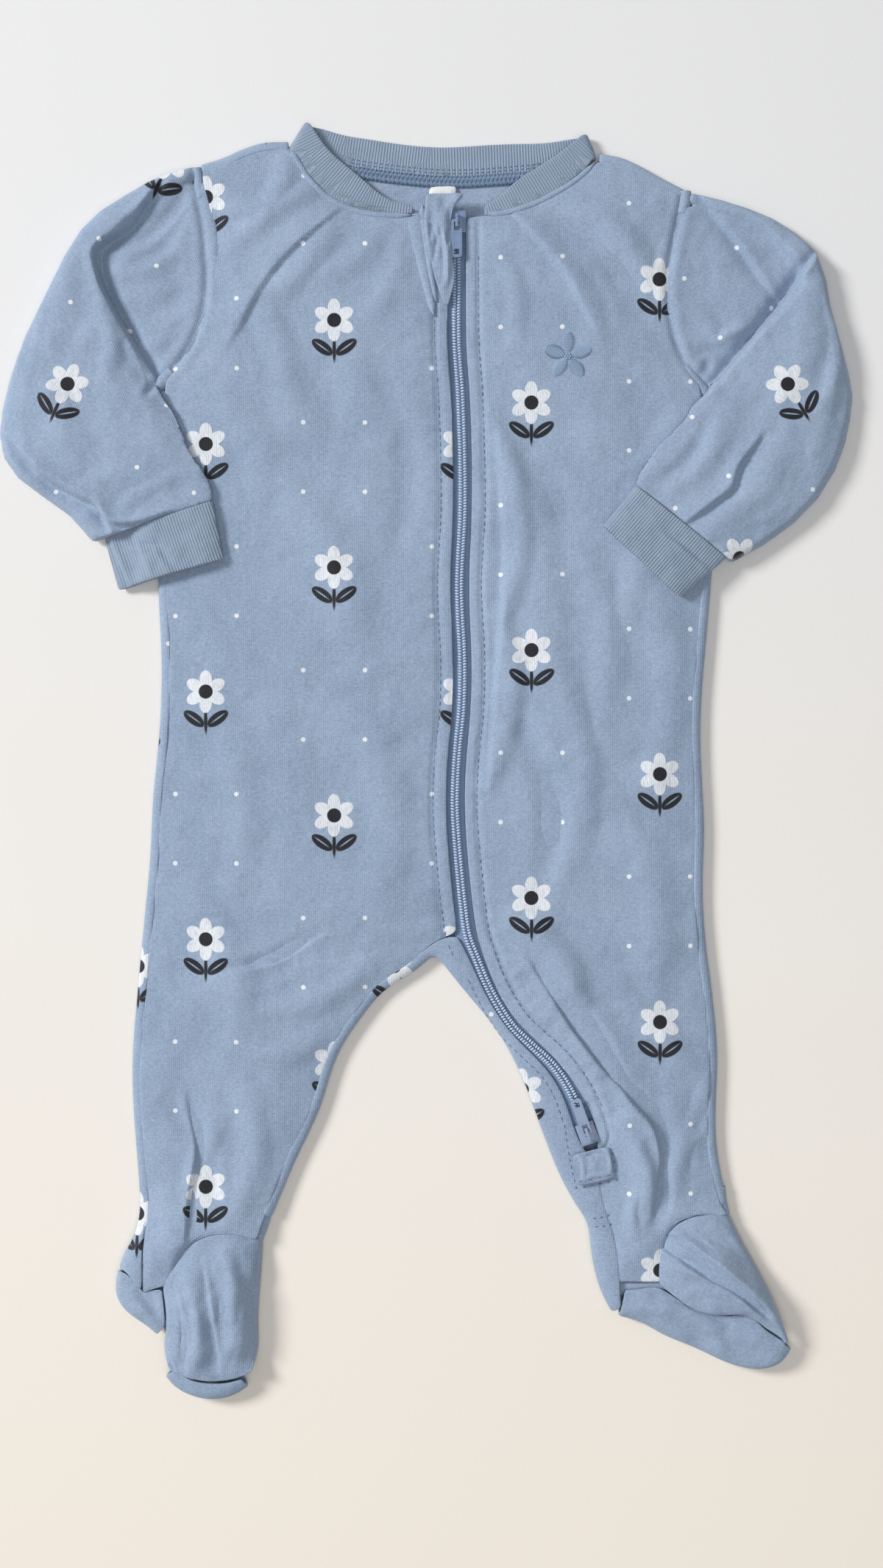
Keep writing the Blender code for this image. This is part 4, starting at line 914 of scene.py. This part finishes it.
def stitches(name, lines, height, material, pitch=3.1, long=2.5, thick=0.55, sink=0.05, ceiling=99.0):
    """Rows of short threads that lie on the cloth along lines."""
    threads = []
    for line in lines:
        length = sum(np.linalg.norm(np.diff(np.array(line, dtype=float)[:, :2], axis=0), axis=1))
        places, ways, _ = line_points([(x, y, 0) for x, y in line], max(3, int(length / pitch)))
        for (x, y, _), way in zip(places, ways):
            front = height(x + way[0] * long / 2, y + way[1] * long / 2)
            rear = height(x - way[0] * long / 2, y - way[1] * long / 2)
            if max(front, rear) > ceiling:
                continue
            middle = at(x, y, (front + rear) / 2 - sink)
            tilt = atan2(rear - front, long)
            turn = Matrix.Rotation(atan2(way[1], way[0]), 4, "Z") @ Matrix.Rotation(tilt, 4, "Y")
            size = Matrix.Diagonal((long / 2 * MM, thick / 2 * MM, thick / 2 * MM, 1))
            threads.append(Matrix.Translation(middle) @ turn @ size)
    return finish_piece(scatter(name, threads, bead(6, 4)), material)


def beside_zip(side, away, first, last):
    """A line beside the zip, away from its middle, between two shares of its length."""
    places, ways, _ = line_points(ZIP_LINE, 120)
    normal = np.stack([-ways[:, 1], ways[:, 0]], axis=1) * side
    rows = []
    for (x, y, opening), n in zip(places, normal):
        rows.append((x + n[0] * (opening + away), y + n[1] * (opening + away)))
    return rows[int(first * 119): int(last * 119)]


def make_stitches(cloth):
    dark = thread("thread_blue", (0.1, 0.155, 0.25))
    fronts = surface_height([cloth["front_right"], cloth["front_left"], cloth["back"], cloth["zip_patch"]])
    left_line = beside_zip(1, 5.1, 0.05, 0.985)
    right_line = beside_zip(-1, 5.1, 0.11, 0.78)
    lower_line = beside_zip(-1, 3.6, 0.80, 0.985)
    stitches("placket_stitches", [left_line, right_line, lower_line], fronts, dark)
    stitches("patch_stitches", [
        [(60.6, -160), (62.4, -172), (64.6, -183), (65.6, -186.6)],
        [(65.6, -187.2), (74, -185.6), (83.2, -183.4)],
        [(83.4, -183), (82.4, -176), (80.6, -168)],
        [(67.2, -183.4), (73, -182.3), (79.6, -180.7)],
    ], fronts, dark, pitch=2.6, long=1.9)
    stitches("heel_stitches", [
        [(73.6, -200.0), (76.4, -199.6), (79.4, -198.8)], [(74.4, -203.6), (77.4, -203.4), (80.4, -202.6)],
    ], fronts, dark, pitch=1.9, long=1.5, thick=0.8)
    guard = surface_height([cloth["zip_guard"]])
    white = thread("thread_white", (0.7, 0.72, 0.75))
    stitches("guard_bartack", [[(4.6, 207.2), (5.0, 205.8), (5.4, 204.2)]], guard, white, pitch=0.9, long=1.2)


FLOWER_X = 62
FLOWER_Y = 176


def make_flower(cloth):
    """The small flower on the left chest, in raised satin stitch."""
    height = surface_height([cloth["front_left"]])
    pale = thread("thread_flower", (0.24, 0.33, 0.46))
    threads = []
    for petal in range(5):
        turn = pi / 2 + petal * 2 * pi / 5
        cx, cy = FLOWER_X + cos(turn) * 6.2, FLOWER_Y + sin(turn) * 6.2
        half_length, half_width = 4.6, 3.3
        steps = int(half_length * 2 / 0.55)
        for k in range(1, steps):
            s = -half_length + 2 * half_length * k / steps
            reach = half_width * (1 - (s / half_length) ** 2) ** 0.6
            px, py = cx + cos(turn) * s, cy + sin(turn) * s
            middle = at(px, py, height(px, py) + 0.05)
            lean = Matrix.Rotation(turn + pi / 2, 4, "Z")
            size = Matrix.Diagonal((max(reach, 0.4) * MM, 0.32 * MM, 0.34 * MM, 1))
            threads.append(Matrix.Translation(middle) @ lean @ size)
    for knot in range(7):
        turn = knot * 2 * pi / 6
        away = 1.1 if knot < 6 else 0
        px, py = FLOWER_X + cos(turn) * away, FLOWER_Y + sin(turn) * away
        middle = at(px, py, height(px, py) + 0.2)
        size = Matrix.Diagonal((0.65 * MM, 0.65 * MM, 0.5 * MM, 1))
        threads.append(Matrix.Translation(middle) @ size)
    finish_piece(scatter("chest_flower", threads, bead(6, 4)), pale)


BACK_NECK = [
    (-33, 258.6), (-22, 256.9), (-8, 255.2), (4, 254.2), (16, 254.0), (30, 254.8), (42, 255.8), (50, 256.6),
]
# Stitches higher than this would lie on the front of the neckband
NECK_CEILING = 3.6


def make_neck_seam(cloth):
    """Inside the back neck: the overlocked seam and its two rows of stitches."""
    places, ways, _ = line_points([(x, y, 0) for x, y in BACK_NECK], 90)
    rows = []
    for k, ((x, y, _), way) in enumerate(zip(places, ways)):
        n = (-way[1], way[0])
        wave = 0.25 * sin(k * 1.9)
        section = [(-2.6 + wave, 1.35), (-2.4 + wave, 2.3), (-1.0, 2.75), (0.6, 2.6), (1.5, 2.2), (1.6, 1.35)]
        rows.append([(x + n[0] * w, y + n[1] * w, z) for w, z in section])
    band = strip("neck_overlock", rows, closed=True)
    finish_piece(band, thread("thread_overlock", (0.16, 0.23, 0.34)))
    height = surface_height([band, cloth["back"], cloth["neckband"]])
    dark = thread("thread_neck", (0.11, 0.17, 0.27))
    loops = []
    for k in range(2, 88):
        (x, y, _), way = places[k], ways[k]
        n = (-way[1], way[0])
        lean = 0.7 if k % 2 else -0.7
        start = (x - n[0] * 2.4 - way[0] * lean, y - n[1] * 2.4)
        end = (x + n[0] * 1.4 + way[0] * lean, y + n[1] * 1.4)
        loops.append([start, (x, y), end])
    stitches(
        "neck_overlock_loops", loops, height, dark,
        pitch=1.5, long=2.0, thick=0.8, sink=-0.1, ceiling=NECK_CEILING,
    )
    rows = []
    for away in (3.4, 4.9):
        rows.append([(x - way[1] * away, y + way[0] * away) for (x, y, _), way in zip(places, ways)])
    stitches("neck_cover_stitches", rows, height, dark, pitch=2.4, long=1.9, thick=0.7, ceiling=NECK_CEILING)


# Rolls of cloth
SeamRoll = namedtuple("SeamRoll", "name line half low high")
Ridge = namedtuple("Ridge", "name line first_half last_half rise")
SEAM_ROLLS = [
    SeamRoll("heel_seam_left", [(83.5, -230.2), (92, -230.2), (103, -229), (112, -226)], 4.0, 0.5, 6.2),
    SeamRoll("heel_seam_right", [(-121, -233.6), (-112, -231.6), (-103, -229.4)], 2.2, 0.5, 3.0),
    SeamRoll("neck_seam_right", [(-10, 239.2), (-4, 238.2), (1.5, 238)], 1.8, 1.4, 4.2),
    SeamRoll("underarm_seam_right", [(-123, 159), (-117.5, 163.5), (-111, 170)], 3.0, 1.0, 5.4),
    SeamRoll("underarm_seam_left", [(113, 172), (118.5, 165), (124.5, 158)], 3.0, 1.0, 5.4),
    SeamRoll("shoulder_seam_right", [(-100.4, 259), (-99.4, 253), (-98, 246)], 2.4, 0.6, 5.0),
    SeamRoll("shoulder_seam_left", [(113.4, 248.8), (113.4, 245), (112, 239)], 2.8, 0.6, 5.6),
    SeamRoll("leg_edge_right", [(-69, -194), (-70.6, -201), (-73, -208), (-75.5, -214)], 2.4, 0.4, 4.6),
    SeamRoll("leg_edge_left", [(128.8, -187), (129.4, -193), (130.8, -199)], 2.4, 0.4, 4.6),
]
RIDGES = [
    Ridge("neckband_seam_right", [(-60.6, 268), (-57, 263), (-49.6, 252), (-39.6, 243.6), (-32, 240.2),
                                  (-24, 238.4), (-14, 237.6), (-6, 238)], 1.25, 1.25, 0.8),
    Ridge("neckband_seam_left", [(25.6, 238.2), (32, 238.6), (39.9, 240.4), (48, 243.4), (56.7, 247.8),
                                 (63, 251.6), (69, 256.2), (73.8, 261)], 1.25, 1.25, 0.8),
    Ridge("flap_fold", [(-5.5, 241), (-4.2, 232), (-2.4, 222), (-0.2, 211), (2.2, 200), (3.4, 194)],
          4.2, 1.4, 1.5),
    Ridge("flap_fold_inner", [(-1.5, 243), (-0.6, 233), (0.8, 222), (2.4, 211), (4.4, 200)], 3.0, 1.2, 2.2),
]


def roll(name, places, ways, sizes, corners, knit):
    """A roll of cloth: sizes has its half-width, middle height and half-height at each of the places."""
    turns = np.linspace(0, 2 * pi, corners, endpoint=False)
    rows = []
    for (x, y, _), way, (half, middle, rise) in zip(places, ways, sizes):
        rows.append([
            (x - way[1] * cos(a) * half, y + way[0] * cos(a) * half, middle + sin(a) * rise) for a in turns
        ])
    finish_piece(strip(name, rows, closed=True), knit)


def make_seams():
    """Narrow rolls of the cloth's own seam allowance, where two pieces are sewn together."""
    knit = brushed_knit("knit_seam_roll")
    for name, line, half, low, high in SEAM_ROLLS:
        places, ways, _ = line_points([(x, y, 0) for x, y in line], 24)
        roll(name, places, ways, [(half, (low + high) / 2, (high - low) / 2)] * len(places), 10, knit)


def make_ridges(cloth):
    """Rolls that lie on the fronts: where the neckband is sewn on, and beside the flap of the zip."""
    height = surface_height([cloth["front_right"], cloth["front_left"]])
    knit = brushed_knit("knit_ridge")
    for name, line, first_half, last_half, rise in RIDGES:
        places, ways, _ = line_points([(x, y, 0) for x, y in line], 60)
        beside = [(x + way[1] * 1.2, y - way[0] * 1.2) for (x, y, _), way in zip(places, ways)]
        levels = np.array([height(x, y) for x, y in beside])
        levels = np.where(levels < 1.5, 2.6, levels)
        levels = np.convolve(np.pad(levels, 3, mode="edge"), np.ones(7) / 7, mode="valid")
        along = np.linspace(0, 1, len(places))
        ends = np.clip(np.minimum(along, 1 - along) * 14, 0.15, 1)
        halves = (first_half + (last_half - first_half) * along) * ends
        sizes = [(half, level - rise * 0.4, rise) for half, level in zip(halves, levels)]
        roll(name, places, ways, sizes, 14, knit)


# Floor, light and camera
def make_stage():
    bpy.ops.mesh.primitive_grid_add(x_subdivisions=2, y_subdivisions=2, size=6, location=(0, 0, -0.0004))
    floor = bpy.context.object
    floor.name = "pale_floor"
    finish = Finish("pale_board", 0.6)
    vector, _, y = finish.place()
    # Painted light: the floor turns warmer and a little brighter towards the bottom of the view, a painted
    # falloff of warm light
    painted_warm_falloff = ((220 - y) / 560).clamped()
    fleck = finish.grain(vector, 1.4, 3.0)
    tone = finish.mix(painted_warm_falloff, (0.775, 0.78, 0.795), (0.85, 0.785, 0.7))
    tone = finish.mix((fleck * 0.12).clamped(), tone, (0.62, 0.6, 0.57))
    finish.colour(tone)
    finish.surface(finish.bump(fleck, 0.12, 0.3))
    floor.data.materials.append(finish.material)

    bpy.context.scene.view_settings.view_transform = "Standard"
    world = bpy.data.worlds.new("studio")
    bpy.context.scene.world = world
    world.use_nodes = True
    world.node_tree.nodes["Background"].inputs["Color"].default_value = (0.95, 0.97, 1.0, 1)
    world.node_tree.nodes["Background"].inputs["Strength"].default_value = 0.30
    for name, place, size, power, colour in (
        ("window", (-3.2, 1.4, 2.3), 1.2, 160, (1.0, 0.99, 0.97)),
        ("ceiling", (0.1, -0.5, 2.1), 1.6, 14, (1.0, 0.985, 0.96)),
    ):
        lamp = bpy.data.lights.new(name, "AREA")
        lamp.shape = "DISK"
        lamp.size = size
        lamp.energy = power
        lamp.color = colour
        light = bpy.data.objects.new(name, lamp)
        bpy.context.scene.collection.objects.link(light)
        light.location = place
        light.rotation_euler = (Vector((0, 0, 0)) - Vector(place)).to_track_quat("-Z", "Y").to_euler()

    lens = bpy.data.cameras.new("camera")
    camera = bpy.data.objects.new("camera", lens)
    bpy.context.scene.collection.objects.link(camera)
    bpy.context.scene.camera = camera
    lens.sensor_width = SENSOR
    lens.lens = SENSOR * CAMERA_HEIGHT / VIEW_LENGTH
    lens.clip_start = 0.01
    camera.location = at(6.8, -10.5, 854)
    camera.rotation_euler = (0, 0, 0)


CUTS = {
    "back": Cut(0.27, 0.515, 0.109, "laid", ()),
    "front_right": Cut(0.138, 0.50, 0.051, "laid", ("back",)),
    "front_left": Cut(0.124, 0.492, 0.042, "laid", ("back",)),
    "neckband": Cut(0.013, 0.28, None, "laid", ("back",)),
    "sleeve_right": Cut(0.095, 0.165, 0.0108, "laid", ()),
    "sleeve_left": Cut(0.095, 0.165, 0.0104, "laid", ()),
    "cuff_right": Cut(0.086, 0.028, None, "laid", ()),
    "cuff_left": Cut(0.086, 0.026, None, "laid", ("front_left",)),
    "foot_upper_right": Cut(0.05, 0.064, 0.0027, "laid", ("foot_sole_right",)),
    "foot_upper_left": Cut(0.058, 0.058, 0.0021, "laid", ("foot_sole_left",)),
    "foot_sole_right": Cut(0.062, 0.064, 0.003, "laid", ()),
    "foot_sole_left": Cut(0.08, 0.064, 0.0039, "laid", ()),
    "zip_guard": Cut(0.016, 0.048, 0.00045, "laid", ("front_right",)),
    "zip_patch": Cut(0.015, 0.015, None, "laid", ("front_left",)),
}

cloth = make_cloth()
make_zip()
make_stitches(cloth)
make_flower(cloth)
make_neck_seam(cloth)
make_seams()
make_ridges(cloth)
make_stage()
for node, cut in CUTS.items():
    under = [cloth[name] for name in cut.rests_on]
